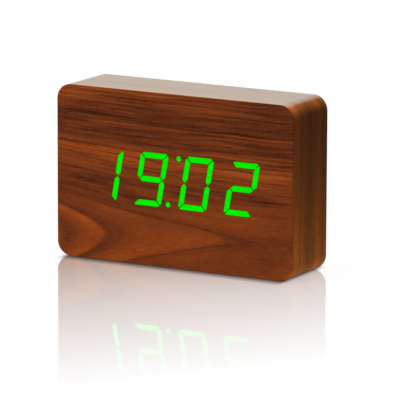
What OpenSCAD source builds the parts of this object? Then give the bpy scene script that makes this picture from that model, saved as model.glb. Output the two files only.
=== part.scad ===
// Wooden digital clock: a veneered box whose seven-segment digits shine through the front.
// X runs to the right, Y to the rear and Z up. The origin is the middle of the base.

/* [Case] */
// Width of the clock
clock_w = 150; // [136:1:180]
// Height of the clock
clock_h = 98; // [92:1:140]
// Depth of the clock
clock_d = 40; // [36:1:46]
// Radius of the four long corners
corner_r = 8.5; // [4:0.5:10.5]
// Thickness of the side, top and base boards
board_t = 10; // [9:0.5:11]
// Thickness of the front board
front_board_t = 4; // [3:0.5:5]
// Thickness of the veneer
veneer_t = 0.6; // [0.4:0.1:1]
// Bevel on the outer edges of the front and rear veneer
edge_bevel = 0.3; // [0.1:0.05:0.35]
// Distance of the veneer's butt seam from the middle of the base
seam_x = 40; // [20:1:55]
// Gap left at the butt seam
seam_gap = 0.1; // [0.05:0.05:0.3]
// Side of the square corner blocks
block_side = 9; // [8:0.5:10]
// Diameter of the dowels
dowel_d = 4; // [3:0.5:5]
// Depth of a dowel in its side board
dowel_side = 5; // [3:0.5:5]
// Depth of a dowel in the top or base board
dowel_inner = 8; // [5:0.5:12]
// Distance of the dowels from the front and rear edges of the boards
dowel_inset = 8; // [5:1:12]
// Clearance round glued pieces and screw threads
glue_gap = 0.05; // [0.02:0.01:0.08]

/* [Digits] */
// Hours shown
shown_hours = 19; // [0:1:23]
// Minutes shown
shown_minutes = 2; // [0:1:59]
// Height of a digit
digit_h = 30.2; // [27:0.1:32]
// Width of a digit before it is slanted
digit_w = 17.8; // [15:0.1:18.5]
// Distance from a side of the clock to the middle of the nearest digit
side_margin = 31.9; // [31:0.1:36]
// Width of a segment
stroke = 3.1; // [2.6:0.1:3.4]
// Slant of the digits in degrees
slant = 10; // [4:1:11]
// Bevel on the outer corners of a digit
corner_clip = 1.8; // [1:0.1:2]
// Gap between two segments that meet
segment_gap = 0.45; // [0.3:0.05:0.6]
// Height of a segment's point above the middle of the digit
tip_gap = 0.3; // [0.3:0.1:0.8]
// Diameter of a colon dot
colon_d = 2.9; // [2:0.1:3.4]
// Distance of a colon dot to the side of the middle
colon_x = 3.4; // [2.4:0.1:3.6]
// Distance of a colon dot above or below the middle
colon_z = 13.2; // [8:0.1:13.6]

/* [Display] */
// Thickness of the diffuser film
film_t = 0.2; // [0.1:0.05:0.4]
// Thickness of the reflector block
reflector_t = 8; // [7:0.5:10]
// Border of the reflector round the digits
reflector_rim = 3; // [2:0.5:3.5]
// Clearance of the reflector in the front board's window
window_gap = 0.3; // [0.2:0.1:0.5]
// Space behind the light guides for the lamps
lamp_space = 1.4; // [1.2:0.1:2]
// Side of a lamp
lamp_side = 1.6; // [1:0.1:1.8]
// Height of a lamp
lamp_h = 0.8; // [0.5:0.1:1]
// Thickness of both circuit boards
pcb_t = 1.6; // [1:0.2:2]
// Border of the display board beside the reflector
display_side = 3.5; // [2:0.5:3.5]
// Border of the display board above and below the reflector
display_lip = 6.5; // [6.5:0.5:8]
// Diameter of the spacer bushes
spacer_d = 5; // [4:0.5:5.5]
// Depth of the display screws in the front board
display_bite = 2.4; // [1.5:0.1:2.6]
// Distance of the driver chips to the side of the middle
driver_x = 24; // [14:1:40]
// Depth of the driver chips below the middle
driver_drop = 14; // [12:0.5:16]

/* [Small screws] */
// Diameter of the thread
thread_d = 2; // [1.6:0.1:2.2]
// Diameter of the head
head_d = 4; // [3.4:0.1:4.4]
// Height of the head
head_h = 1.4; // [1.2:0.1:1.6]
// Clearance round the thread in a board or bush
hole_gap = 0.2; // [0.1:0.05:0.3]
// Width of a cross recess
cross_w = 0.6; // [0.4:0.1:0.8]
// Depth of a cross recess
cross_t = 0.8; // [0.5:0.1:1]

/* [Rear cover] */
// Thickness of the rear cover
cover_t = 3; // [2.8:0.1:4]
// Depth of the cover's face below the rear edge of the case
cover_recess = 1.2; // [1.1:0.1:2]
// Gap between the cover and the case
cover_gap = 0.4; // [0.2:0.1:0.6]
// Diameter of the cover screws
cover_screw_d = 2.8; // [2.4:0.1:3]
// Length of the cover screws under the head
cover_screw_len = 14; // [10:1:18]
// Diameter of the cover screw heads
cover_head_d = 5.6; // [5:0.1:6]
// Height of the cover screw heads
cover_head_h = 1.6; // [1.4:0.1:1.8]
// Depth of the screw heads below the cover's face
head_sink = 0.1; // [0.05:0.05:0.3]
// Clearance round the screw heads
head_gap = 0.4; // [0.2:0.1:0.5]
// Diameter of the bosses for the main board
boss_d = 5.5; // [5:0.1:6]

/* [Battery bay] */
// Distance of the bay from the inside of the case
bay_margin = 6; // [4:0.5:8]
// Diameter of a cell
cell_d = 10.5; // [9:0.5:11]
// Length of a cell with its contact nub
cell_len = 44.5; // [42:0.5:46]
// Diameter of the contact nub
nub_d = 3.8; // [3:0.1:5]
// Height of the contact nub
nub_h = 1; // [0.8:0.1:1.4]
// Gap between cells and beside them
cell_gap = 0.3; // [0.2:0.1:0.5]
// Room between the cells and the door
cell_room = 0.4; // [0.3:0.1:1]
// Thickness of the bay's walls and floor
bay_wall = 1.5; // [1.4:0.1:2]
// Thickness of the contact plates
contact_t = 0.4; // [0.3:0.05:0.5]
// Side of a contact plate
contact_side = 8; // [7.5:0.5:9]
// Width of a solder tab
tab_w = 2; // [1.6:0.1:2.4]
// Length of a solder tab outside the bay
tab_out = 2.5; // [2:0.1:3]
// Length of a pressed contact spring
spring_h = 4.5; // [4.3:0.1:6]
// Diameter of the spring wire
spring_wire = 0.6; // [0.4:0.05:0.6]
// Radius of a spring's widest curl
spring_base_r = 3.3; // [3.2:0.1:3.5]
// Radius of a spring's narrowest curl
spring_tip_r = 1.8; // [1.4:0.1:1.9]

/* [Battery door] */
// Thickness of the door
door_t = 2.4; // [2:0.1:2.6]
// Gap round the door
door_gap = 0.3; // [0.2:0.05:0.35]
// Lap of the door over the bay's walls
door_lap = 1; // [0.8:0.05:1]
// Gap between the shut door and its seat
seat_gap = 0.1; // [0.05:0.05:0.2]
// Diameter of the hinge pins
hinge_pin_d = 1.5; // [1.2:0.1:1.6]
// Length of the hinge pins outside the door
hinge_pin_len = 1.6; // [1.2:0.1:2]
// Radial clearance of the hinge pins
hinge_play = 0.05; // [0.02:0.01:0.1]
// Radius of the catch bead on the door's upper edge
bead_r = 0.15; // [0.1:0.05:0.15]
// Radius of the thumb notch above the door
notch_r = 6; // [4:0.5:7]
// Depth of the thumb notch and of the grip grooves
notch_t = 1; // [0.6:0.1:1.2]

/* [Buttons] */
// Diameter of a button
button_d = 7; // [5:0.5:8]
// Distance from one button to the next
button_pitch = 13; // [11.5:0.5:13.5]
// Height of a button above the cover's face
button_proud = 0.8; // [0.6:0.1:1]
// Travel of a button
button_travel = 0.5; // [0.3:0.1:0.6]
// Radial clearance of a button in the cover
button_gap = 0.2; // [0.1:0.05:0.3]
// Depth of the mark on a button
mark_t = 0.25; // [0.1:0.05:0.4]
// Radius of the mark on a button
mark_r = 1.8; // [1.2:0.1:2.2]
// Width of a button's flange beyond its stem
flange_w = 1.25; // [1:0.05:1.5]
// Thickness of a button's flange
flange_t = 1; // [0.8:0.1:1.4]
// Gap between a flange and the cover
flange_gap = 0.2; // [0.1:0.05:0.3]
// Side of a switch body
switch_side = 6; // [5:0.5:7]
// Height of a switch body
switch_h = 3.5; // [3:0.1:4]
// Diameter of a switch plunger
plunger_d = 3.4; // [3:0.1:3.6]
// Length of a plunger outside its switch
plunger_out = 0.9; // [0.9:0.1:1.2]
// Length of a plunger inside its switch
plunger_in = 0.8; // [0.6:0.1:1]
// Radial clearance of a plunger
plunger_gap = 0.1; // [0.05:0.05:0.2]

/* [Main board] */
// Distance of the main board from the inside of the case
main_margin = 6; // [4:0.5:8]
// Width of the main board
main_w = 46; // [44:1:48]
// Height of the main board
main_h = 54; // [52:1:56]
// Distance of the bosses from the edges of the main board
boss_inset = 3.2; // [3:0.1:3.5]
// Depth of the main board's screws in the bosses
main_bite = 3.8; // [3:0.1:4]
// Height of the button row above the middle
button_rise = 17; // [16:0.5:18]
// Diameter of the buzzer
buzzer_d = 12; // [9:0.5:13]
// Gap between the buzzer and the cover
buzzer_gap = 0.3; // [0.2:0.1:0.6]
// Depth of the buzzer's middle below the middle of the clock
buzzer_drop = 5; // [4:0.5:6]
// Diameter of a sound hole
sound_d = 1.6; // [1:0.1:2]
// Radius of the ring of sound holes
sound_ring = 3.4; // [3:0.1:4]
// Diameter of the microphone
mic_d = 6; // [5:0.5:6.5]
// Height of the microphone
mic_h = 3; // [2.5:0.1:3.5]
// Wall of the microphone's rubber boot
boot_wall = 1; // [0.8:0.1:1.4]
// Width of the power socket
socket_w = 7.7; // [7:0.1:9]
// Height of the power socket
socket_h = 4; // [3.6:0.1:4.4]
// Wall of the power socket
socket_wall = 0.4; // [0.3:0.05:0.5]
// Gap between the power socket and the cover
socket_gap = 0.3; // [0.2:0.05:0.4]
// Distance of the microphone and the socket to the side of the board's middle
port_x = 12; // [11:0.5:12.5]
// Depth of the microphone and the socket below the middle
port_drop = 19; // [18:0.5:20]
// Length of a chip
chip_l = 15.4; // [12:0.1:18]
// Width of a chip
chip_w = 7.5; // [6:0.1:8]
// Height of a chip
chip_h = 2.3; // [1.6:0.1:2.6]
// Diameter of a capacitor
capacitor_d = 5; // [4:0.1:6.3]
// Height of a capacitor
capacitor_h = 7; // [5:0.5:8]
// Distance between the capacitors
capacitor_pitch = 8; // [7:0.5:10]
// Diameter of the crystal's can
crystal_d = 2; // [1.6:0.1:3]
// Length of the crystal's can
crystal_len = 6; // [5:0.5:8]
// Length of a chip resistor
resistor_l = 2; // [1.6:0.1:2.2]
// Width of a chip resistor
resistor_w = 1.25; // [0.8:0.05:1.6]
// Height of a chip resistor
resistor_h = 0.5; // [0.4:0.05:0.6]
// Number of chip resistors
resistor_count = 6; // [2:1:6]

/* [Wiring] */
// Width of the ribbon cable
ribbon_w = 12.7; // [10:0.1:14]
// Thickness of the ribbon cable
ribbon_t = 0.9; // [0.6:0.1:1.2]
// Length of the ribbon cable between its headers
ribbon_len = 25; // [22:0.5:28]
// Length of a ribbon header beyond the ribbon, both ends together
header_over = 3; // [2:0.5:4]
// Depth and height of a header
header_side = 5; // [4:0.5:5.5]
// Distance of the ribbon to the side of the main board's middle
ribbon_shift = 8; // [4:0.5:9]
// Diameter of a battery lead
lead_d = 1.4; // [1:0.1:1.6]
// Distance of the two leads from each other at their header
lead_split = 4; // [3:0.5:5]

/* [Hidden] */
$fn = 64;
cut = 1;

// Faces of the case, from front to rear
front_y = -clock_d / 2;
rear_y = clock_d / 2;
front_board_y = front_y + veneer_t;
case_y0 = front_board_y + front_board_t;
case_y1 = rear_y - veneer_t;
mid_z = clock_h / 2;

// Inside of the case
wall = veneer_t + board_t;
cavity_x = clock_w / 2 - wall;
cavity_z = clock_h / 2 - wall;
screw_x = cavity_x - block_side / 2;
screw_z = cavity_z - block_side / 2;

// Rear cover
cover_y1 = rear_y - cover_recess;
cover_y0 = cover_y1 - cover_t;
cover_seat_y = cover_y1 - head_sink - cover_head_h;

// Display, from the film to the back of its board
film_y = front_board_y + film_t;
reflector_y = film_y + reflector_t;
display_y = reflector_y + pcb_t;
digit_pitch = (clock_w - 2 * side_margin) / 3;
reflector_w = 3 * digit_pitch + digit_w + digit_h * tan(slant) + 2 * reflector_rim;
reflector_h = digit_h + 2 * reflector_rim;
display_w = reflector_w + 2 * display_side;
display_h = reflector_h + 2 * display_lip;
display_screw_x = reflector_w / 2 - spacer_d / 2;
display_screw_z = reflector_h / 2 + display_lip / 2;

// Figures shown, and the segments lit for each figure from 0 to 9, in the order
// top, upper right, lower right, base, lower left, upper left, middle
figures = [floor(shown_hours / 10), shown_hours % 10, floor(shown_minutes / 10), shown_minutes % 10];
lit = [
  [1, 1, 1, 1, 1, 1, 0],
  [0, 1, 1, 0, 0, 0, 0],
  [1, 1, 0, 1, 1, 0, 1],
  [1, 1, 1, 1, 0, 0, 1],
  [0, 1, 1, 0, 0, 1, 1],
  [1, 0, 1, 1, 0, 1, 1],
  [1, 0, 1, 1, 1, 1, 1],
  [1, 1, 1, 0, 0, 0, 0],
  [1, 1, 1, 1, 1, 1, 1],
  [1, 1, 1, 1, 0, 1, 1]
];

// Battery bay: four cells lie along X, one above the other
cell_count = 4;
cell_pitch = cell_d + cell_gap;
bay_len = cell_len + 2 * contact_t + spring_h;
bay_h = cell_count * cell_pitch + cell_gap;
bay_x0 = bay_margin - cavity_x;
bay_x1 = bay_x0 + bay_len;
bay_x = (bay_x0 + bay_x1) / 2;
door_y = cover_y1 - door_t;
cell_y = door_y - cell_room - cell_d / 2;
bay_floor_y = cell_y - cell_d / 2 - cell_gap;
tab_x = bay_x1 + bay_wall + tab_out;
spring_turns = 3;
rings_per_turn = 8;

// Battery door
door_w = bay_len + 2 * door_lap;
door_z0 = mid_z - bay_h / 2 - door_lap;
door_z1 = mid_z + bay_h / 2 + door_lap;
hinge_y = cover_y1 - door_t / 2;
hinge_z = door_z0 + door_t / 2;

// Main board, hung from the cover by bosses as long as a switch with its button's flange
boss_len = switch_h + plunger_out + flange_t + flange_gap;
main_y1 = cover_y0 - boss_len;
main_y0 = main_y1 - pcb_t;
controls_x = cavity_x - main_margin - main_w / 2;
boss_x = main_w / 2 - boss_inset;
boss_z = main_h / 2 - boss_inset;
button_z = mid_z + button_rise;
buzzer_z = mid_z - buzzer_drop;
port_z = mid_z - port_drop;
set_x = controls_x + button_pitch;
up_x = controls_x;
down_x = controls_x - button_pitch;

// Wiring: the ribbon is two quarter bends and a straight run between facing headers
ribbon_x = controls_x + ribbon_shift;
ribbon_z = mid_z + button_rise;
ribbon_y0 = display_y + header_side;
ribbon_y1 = main_y0 - header_side;
ribbon_r = (ribbon_y1 - ribbon_y0) / 2;
ribbon_run = ribbon_len - PI * ribbon_r;
header_x = controls_x - main_w / 2 + 2;
lead_y = main_y0 - header_side / 2;

// A box from one corner to the opposite one
module block(low, high) {
  translate(low)
    cube(high - low);
}

// A round bar along Y
module rod_y(x, z, y0, y1, d) {
  translate([x, y1, z])
    rotate([90, 0, 0])
      cylinder(h = y1 - y0, d = d);
}

// A round bar along X
module rod_x(y, z, x0, x1, d) {
  translate([x0, y, z])
    rotate([0, 90, 0])
      cylinder(h = x1 - x0, d = d);
}

// A flat drawing in X and Z, given a depth along Y
module slab(y0, y1) {
  translate([0, y1, 0])
    rotate([90, 0, 0])
      linear_extrude(y1 - y0)
        children();
}

// Copies at the four corners of a rectangle in X and Z
module at_corners(x, z) {
  for (sx = [-1, 1], sz = [-1, 1])
    translate([sx * x, 0, mid_z + sz * z])
      children();
}

module rounded_rect(w, h, r) {
  square([w - 2 * r, h], center = true);
  square([w, h - 2 * r], center = true);
  for (sx = [-1, 1], sz = [-1, 1])
    translate([sx * (w / 2 - r), sz * (h / 2 - r)])
      circle(r);
}

// The clock's front outline, inset by the given distance
module outline(inset) {
  translate([0, mid_z])
    rounded_rect(clock_w - 2 * inset, clock_h - 2 * inset, corner_r - inset);
}

// Section that takes the bevel off an edge at the given distance from the middle
module bevel_section(edge) {
  polygon([
    [edge - edge_bevel - cut, cut],
    [edge + cut, cut],
    [edge + cut, -edge_bevel - cut]
  ]);
}

// Ring that takes the bevel off the front edge of the outline
module bevel_ring() {
  straight = [clock_h - 2 * corner_r, clock_w - 2 * corner_r];
  reach = [clock_w / 2, clock_h / 2];
  centre = [clock_w / 2 - corner_r, clock_h / 2 - corner_r];
  translate([0, front_y, mid_z])
    rotate([90, 0, 0])
      for (side = [0:3]) {
        rotate([0, 0, 90 * side])
          translate([0, straight[side % 2] / 2, 0])
            rotate([90, 0, 0])
              linear_extrude(straight[side % 2])
                bevel_section(reach[side % 2]);
        translate([centre.x * (side % 3 == 0 ? 1 : -1), centre.y * (side < 2 ? 1 : -1), 0])
          rotate([0, 0, 90 * side])
            rotate_extrude(angle = 90)
              bevel_section(corner_r);
      }
}

// Outlines of the segments, upright, with the digit's middle at zero. They are grown by a clearance.
function top_bar(grow) =
  let (w = digit_w / 2 + grow, h = digit_h / 2 + grow, s = stroke + 2 * grow)
  let (c = corner_clip + grow * (2 - sqrt(2)), k = (segment_gap / 2 - grow) * sqrt(2))
  [
    [w - c, h], [w - (c + k) / 2, h - (c - k) / 2], [w - s - k, h - s],
    [s + k - w, h - s], [(c + k) / 2 - w, h - (c - k) / 2], [c - w, h]
  ];

function side_bar(grow) =
  let (w = digit_w / 2 + grow, h = digit_h / 2 + grow, s = stroke + 2 * grow)
  let (c = corner_clip + grow * (2 - sqrt(2)), k = (segment_gap / 2 - grow) * sqrt(2))
  let (tip = tip_gap - grow * sqrt(2))
  [
    [w - (c - k) / 2, h - (c + k) / 2], [w, h - c], [w, tip + s / 2],
    [w - s / 2, tip], [w - s, tip + s / 2], [w - s, h - s - k]
  ];

function middle_bar(grow) =
  let (s = stroke / 2 + grow)
  let (tip = digit_w / 2 - stroke / 2 + tip_gap - (segment_gap - grow) * sqrt(2))
  [[tip, 0], [tip - s, s], [s - tip, s], [-tip, 0], [s - tip, -s], [tip - s, -s]];

function flipped(points, fx, fz) = [for (p = points) [fx * p.x, fz * p.y]];
function slanted(points) = [for (p = points) [p.x + p.y * tan(slant), p.y]];
function sum(list, i = 0) = i < len(list) ? list[i] + sum(list, i + 1) : 0;
function middle(points) = [for (axis = [0, 1]) sum([for (p = points) p[axis]]) / len(points)];

// Segments in the order of the table of lit segments
function segment(i, grow) = slanted([
  top_bar(grow),
  side_bar(grow),
  flipped(side_bar(grow), 1, -1),
  flipped(top_bar(grow), 1, -1),
  flipped(side_bar(grow), -1, -1),
  flipped(side_bar(grow), -1, 1),
  middle_bar(grow)
][i]);

function digit_x(d) = (d - 1.5) * digit_pitch;

// Drawing of the segments, all of them or only the lit ones
module segments(grow, only_lit) {
  for (d = [0:3], i = [0:6])
    if (!only_lit || lit[figures[d]][i] == 1)
      translate([digit_x(d), mid_z])
        polygon(segment(i, grow));
}

module colon(grow) {
  for (s = [-1, 1])
    translate([s * colon_x, mid_z + s * colon_z])
      circle(d = colon_d + 2 * grow);
}

// Screw that stands on its seat with the head up
module screw(d, len, hd, hh) {
  difference() {
    union() {
      cylinder(h = hh, d = hd);
      translate([0, 0, -len])
        cylinder(h = len, d = d);
    }
    for (turn = [0, 90])
      rotate([0, 0, turn])
        translate([-hd * 0.3, -cross_w / 2, hh - cross_t])
          cube([hd * 0.6, cross_w, cross_t + cut]);
  }
}

// Closed tube of straight-sided rings along a list of points, each ring set out from its own side vector
function unit(v) = v / norm(v);
function heading(p, i) = unit(p[min(i + 1, len(p) - 1)] - p[max(i - 1, 0)]);
function ring(p, side, i, r, n) =
  let (t = heading(p, i), u = unit(side[i] - t * (side[i] * t)), v = cross(t, u))
  [for (k = [0:n - 1]) p[i] + r * (cos(360 * k / n) * u + sin(360 * k / n) * v)];

module tube(p, side, r, n) {
  last = len(p) - 1;
  points = [for (i = [0:last]) each ring(p, side, i, r, n)];
  walls = [for (i = [0:last - 1], k = [0:n - 1])
    let (a = i * n + k, b = i * n + (k + 1) % n)
    each [[a, a + n, b], [b, a + n, b + n]]];
  caps = [for (k = [1:n - 2])
    each [[0, k, k + 1], [last * n, last * n + k + 1, last * n + k]]];
  polyhedron(points = points, faces = concat(walls, caps));
}

// Walnut skin of the front, open where a lit segment or dot shows
module front_veneer() {
  color("#6e3416")
    difference() {
      slab(front_y, front_board_y)
        outline(0);
      slab(front_y - cut, front_board_y + cut) {
        segments(glue_gap, true);
        colon(glue_gap);
      }
      bevel_ring();
    }
}

// The parts of the skin that glow, flush with it
module lit_segments() {
  color("lime")
    slab(front_y, front_board_y)
      segments(0, true);
}

module colon_dots() {
  color("lime")
    slab(front_y, front_board_y)
      colon(0);
}

// Walnut strip round the sides, top and base
module band_veneer() {
  color("#5c2c14")
    difference() {
      slab(front_board_y, case_y1)
        difference() {
          outline(0);
          outline(veneer_t);
        }
      block([seam_x - seam_gap / 2, front_y, -cut], [seam_x + seam_gap / 2, rear_y, wall]);
    }
}

// Walnut ring over the rear edges of the boards
module rear_edge_veneer() {
  color("#5c2c14")
    difference() {
      slab(case_y1, rear_y)
        difference() {
          outline(0);
          translate([0, mid_z])
            square([2 * cavity_x, 2 * cavity_z], center = true);
        }
      mirror([0, 1, 0])
        bevel_ring();
    }
}

// The part of the box between two places along X and Z
module case_part(x0, x1, z0, z1) {
  color("#b08d60")
    slab(case_y0, case_y1)
      intersection() {
        outline(veneer_t);
        translate([x0, z0])
          square([x1 - x0, z1 - z0]);
      }
}

// Dowels through the joints between the side boards and the top or base board
module dowels(grow) {
  rows = [wall - board_t / 2, clock_h - wall + board_t / 2];
  depths = [case_y0 + dowel_inset, case_y1 - dowel_inset];
  for (sx = [-1, 1], z = rows, y = depths)
    rod_x(y, z,
      sx * cavity_x - (sx > 0 ? dowel_inner : dowel_side) - grow,
      sx * cavity_x + (sx > 0 ? dowel_side : dowel_inner) + grow,
      dowel_d + 2 * grow);
}

module case_top() {
  color("#b08d60")
    difference() {
      case_part(-cavity_x, cavity_x, clock_h - wall, clock_h);
      dowels(glue_gap);
    }
}

module case_bottom() {
  color("#b08d60")
    difference() {
      case_part(-cavity_x, cavity_x, 0, wall);
      dowels(glue_gap);
    }
}

module case_left() {
  color("#b08d60")
    difference() {
      case_part(-clock_w / 2, -cavity_x, 0, clock_h);
      dowels(glue_gap);
    }
}

module case_right() {
  color("#b08d60")
    difference() {
      case_part(cavity_x, clock_w / 2, 0, clock_h);
      dowels(glue_gap);
    }
}

module case_dowels() {
  color("burlywood")
    dowels(0);
}

// Blocks in the inner corners, drilled for the cover screws
module corner_blocks() {
  color("burlywood")
    at_corners(screw_x, screw_z)
      difference() {
        block([-block_side / 2, case_y0, -block_side / 2],
          [block_side / 2, cover_y0, block_side / 2]);
        rod_y(0, 0, cover_seat_y - cover_screw_len - glue_gap, cover_y0 + cut,
          cover_screw_d + 2 * glue_gap);
      }
}

module front_board() {
  color("#b08d60")
    difference() {
      slab(front_board_y, case_y0)
        difference() {
          outline(veneer_t);
          translate([0, mid_z])
            square([reflector_w + 2 * window_gap, reflector_h + 2 * window_gap], center = true);
        }
      at_corners(display_screw_x, display_screw_z)
        rod_y(0, 0, case_y0 - display_bite - glue_gap, case_y0 + cut, thread_d + 2 * glue_gap);
    }
}

module display_film() {
  color("white")
    slab(front_board_y, film_y)
      translate([0, mid_z])
        square([reflector_w, reflector_h], center = true);
}

// White block with one cell for each segment and dot
module display_reflector() {
  color("whitesmoke")
    slab(film_y, reflector_y)
      difference() {
        translate([0, mid_z])
          square([reflector_w, reflector_h], center = true);
        segments(0, false);
        colon(0);
      }
}

// Clear fillings of the cells, which leave room for the lamps behind
module light_guides() {
  color("honeydew")
    slab(film_y, reflector_y - lamp_space) {
      segments(-glue_gap, false);
      colon(-glue_gap);
    }
}

// A lamp at the given place on the display board
module lamp(x, z) {
  half = lamp_side / 2;
  translate([x, 0, mid_z + z])
    block([-half, reflector_y - lamp_h, -half], [half, reflector_y, half]);
}

module display_leds() {
  color("palegreen") {
    for (d = [0:3], i = [0:6])
      let (at = middle(segment(i, 0)))
        lamp(digit_x(d) + at.x, at.y);
    for (s = [-1, 1])
      lamp(s * colon_x, s * colon_z);
  }
}

module display_board() {
  color("darkgreen")
    difference() {
      slab(reflector_y, display_y)
        translate([0, mid_z])
          square([display_w, display_h], center = true);
      at_corners(display_screw_x, display_screw_z)
        rod_y(0, 0, reflector_y - cut, display_y + cut, thread_d + 2 * hole_gap);
    }
}

module driver_chips() {
  color("#202022")
    for (s = [-1, 1])
      translate([s * driver_x, display_y, mid_z - driver_drop])
        block([-chip_l / 2, 0, -chip_w / 2], [chip_l / 2, chip_h, chip_w / 2]);
}

// Bushes between the front board and the display board
module display_spacers() {
  color("ivory")
    at_corners(display_screw_x, display_screw_z)
      difference() {
        rod_y(0, 0, case_y0, reflector_y, spacer_d);
        rod_y(0, 0, case_y0 - cut, reflector_y + cut, thread_d + 2 * hole_gap);
      }
}

module display_screws() {
  color("silver")
    at_corners(display_screw_x, display_screw_z)
      translate([0, display_y, 0])
        rotate([-90, 0, 0])
          screw(thread_d, display_y - case_y0 + display_bite, head_d, head_h);
}

// Places of the bosses and of the main board's screws
module at_bosses() {
  translate([controls_x, 0, 0])
    at_corners(boss_x, boss_z)
      children();
}

// Cover plate with the battery bay and the bosses moulded on
module cover_body() {
  block([cover_gap - cavity_x, cover_y0, mid_z - cavity_z + cover_gap],
    [cavity_x - cover_gap, cover_y1, mid_z + cavity_z - cover_gap]);
  block([bay_x0 - bay_wall, bay_floor_y - bay_wall, mid_z - bay_h / 2 - bay_wall],
    [bay_x1 + bay_wall, cover_y0 + cut, mid_z + bay_h / 2 + bay_wall]);
  at_bosses()
    rod_y(0, 0, main_y1, cover_y0 + cut, boss_d);
}

// Room of the cells, and the rebate, hinge bores and thumb notch of the door
module cover_bay() {
  block([bay_x0, bay_floor_y, mid_z - bay_h / 2], [bay_x1, cover_y1 + cut, mid_z + bay_h / 2]);
  block([bay_x - door_w / 2 - door_gap, door_y - seat_gap, door_z0 - door_gap],
    [bay_x + door_w / 2 + door_gap, cover_y1 + cut, door_z1 + door_gap]);
  rod_x(hinge_y, hinge_z,
    bay_x - door_w / 2 - hinge_pin_len - glue_gap,
    bay_x + door_w / 2 + hinge_pin_len + glue_gap,
    hinge_pin_d + 2 * hinge_play);
  rod_y(bay_x, door_z1 + door_gap, cover_y1 - notch_t, cover_y1 + cut, 2 * notch_r);
  for (i = [0, cell_count - 1])
    translate([bay_x1, cell_y, cell_z(i)])
      block([-cut, -contact_t / 2 - glue_gap, -tab_w / 2 - glue_gap],
        [bay_wall + cut, contact_t / 2 + glue_gap, tab_w / 2 + glue_gap]);
}

// Holes for the screws, buttons, sound and power socket
module cover_holes() {
  at_corners(screw_x, screw_z) {
    rod_y(0, 0, cover_y0 - cut, cover_y1 + cut, cover_screw_d + 2 * hole_gap);
    rod_y(0, 0, cover_seat_y, cover_y1 + cut, cover_head_d + 2 * head_gap);
  }
  at_bosses()
    rod_y(0, 0, main_y1 - cut, main_y1 + main_bite + glue_gap, thread_d + 2 * glue_gap);
  for (x = [set_x, up_x, down_x])
    rod_y(x, button_z, cover_y0 - cut, cover_y1 + cut, button_d + 2 * button_gap);
  for (turn = [0:60:300])
    rod_y(controls_x + sound_ring * cos(turn), buzzer_z + sound_ring * sin(turn),
      cover_y0 - cut, cover_y1 + cut, sound_d);
  rod_y(controls_x, buzzer_z, cover_y0 - cut, cover_y1 + cut, sound_d);
  rod_y(controls_x - port_x, port_z, cover_y0 - cut, cover_y1 + cut, sound_d);
  translate([controls_x + port_x, 0, port_z])
    block([-socket_w / 2 - socket_gap, cover_y0 - cut, -socket_h / 2 - socket_gap],
      [socket_w / 2 + socket_gap, cover_y1 + cut, socket_h / 2 + socket_gap]);
}

module rear_cover() {
  color("#1b1b1d")
    difference() {
      cover_body();
      cover_bay();
      cover_holes();
    }
}

module rear_cover_screws() {
  color("dimgray")
    at_corners(screw_x, screw_z)
      translate([0, cover_seat_y, 0])
        rotate([-90, 0, 0])
          screw(cover_screw_d, cover_screw_len, cover_head_d, cover_head_h);
}

// Door with a rounded lower edge, hinge pins, a catch bead and grip grooves
module battery_door() {
  foot = [for (a = [180:45:360]) [door_t / 2 * cos(a), door_t / 2 * sin(a)]];
  top = door_z1 - hinge_z;
  color("#202022")
    difference() {
      union() {
        translate([bay_x - door_w / 2, hinge_y, hinge_z])
          rotate([90, 0, 90])
            linear_extrude(door_w)
              polygon(concat(foot, [[door_t / 2, top], [-door_t / 2, top]]));
        rod_x(hinge_y, hinge_z, bay_x - door_w / 2 - hinge_pin_len, bay_x - door_w / 2 + cut, hinge_pin_d);
        rod_x(hinge_y, hinge_z, bay_x + door_w / 2 - cut, bay_x + door_w / 2 + hinge_pin_len, hinge_pin_d);
        rod_x(hinge_y, door_z1, bay_x - notch_r, bay_x + notch_r, 2 * bead_r);
      }
      for (i = [1:3])
        block([bay_x - notch_r, cover_y1 - notch_t / 2, door_z1 - 2 * i - notch_t],
          [bay_x + notch_r, cover_y1 + cut, door_z1 - 2 * i]);
    }
}

// Height of a cell, and whether its nub points to the right
function cell_z(i) = mid_z + (i - (cell_count - 1) / 2) * cell_pitch;
function nub_right(i) = i % 2 == 0;

// Puts a piece at one end of the bay's inside, facing inwards
module at_bay_end(right, i) {
  translate([right ? bay_x1 - contact_t : bay_x0 + contact_t, cell_y, cell_z(i)])
    mirror([right ? 1 : 0, 0, 0])
      children();
}

// A cell with its nub at zero
module cell() {
  rotate([0, 90, 0])
    rotate_extrude()
      polygon([
        [0, 0], [nub_d / 2, 0], [nub_d / 2, nub_h], [cell_d / 2 - nub_h / 2, nub_h],
        [cell_d / 2, 1.5 * nub_h], [cell_d / 2, cell_len - nub_h / 2],
        [cell_d / 2 - nub_h / 2, cell_len], [0, cell_len]
      ]);
}

module battery_cells() {
  color("goldenrod")
    for (i = [0:cell_count - 1])
      at_bay_end(nub_right(i), i)
        cell();
}

// A plate that spans two neighbouring cells, or one cell, at one end of the bay
module contact(right, low, high) {
  at_bay_end(right, low)
    block([-contact_t, -contact_side / 2, -contact_side / 2],
      [0, contact_side / 2, contact_side / 2 + (high - low) * cell_pitch]);
}

module battery_contacts() {
  color("silver") {
    contact(false, 0, 1);
    contact(false, 2, 3);
    contact(true, 1, 2);
    for (i = [0, 3])
      union() {
        contact(true, i, i);
        translate([bay_x1 - contact_t, cell_y, cell_z(i)])
          block([0, -contact_t / 2, -tab_w / 2], [tab_x - bay_x1 + contact_t, contact_t / 2, tab_w / 2]);
      }
  }
}

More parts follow.
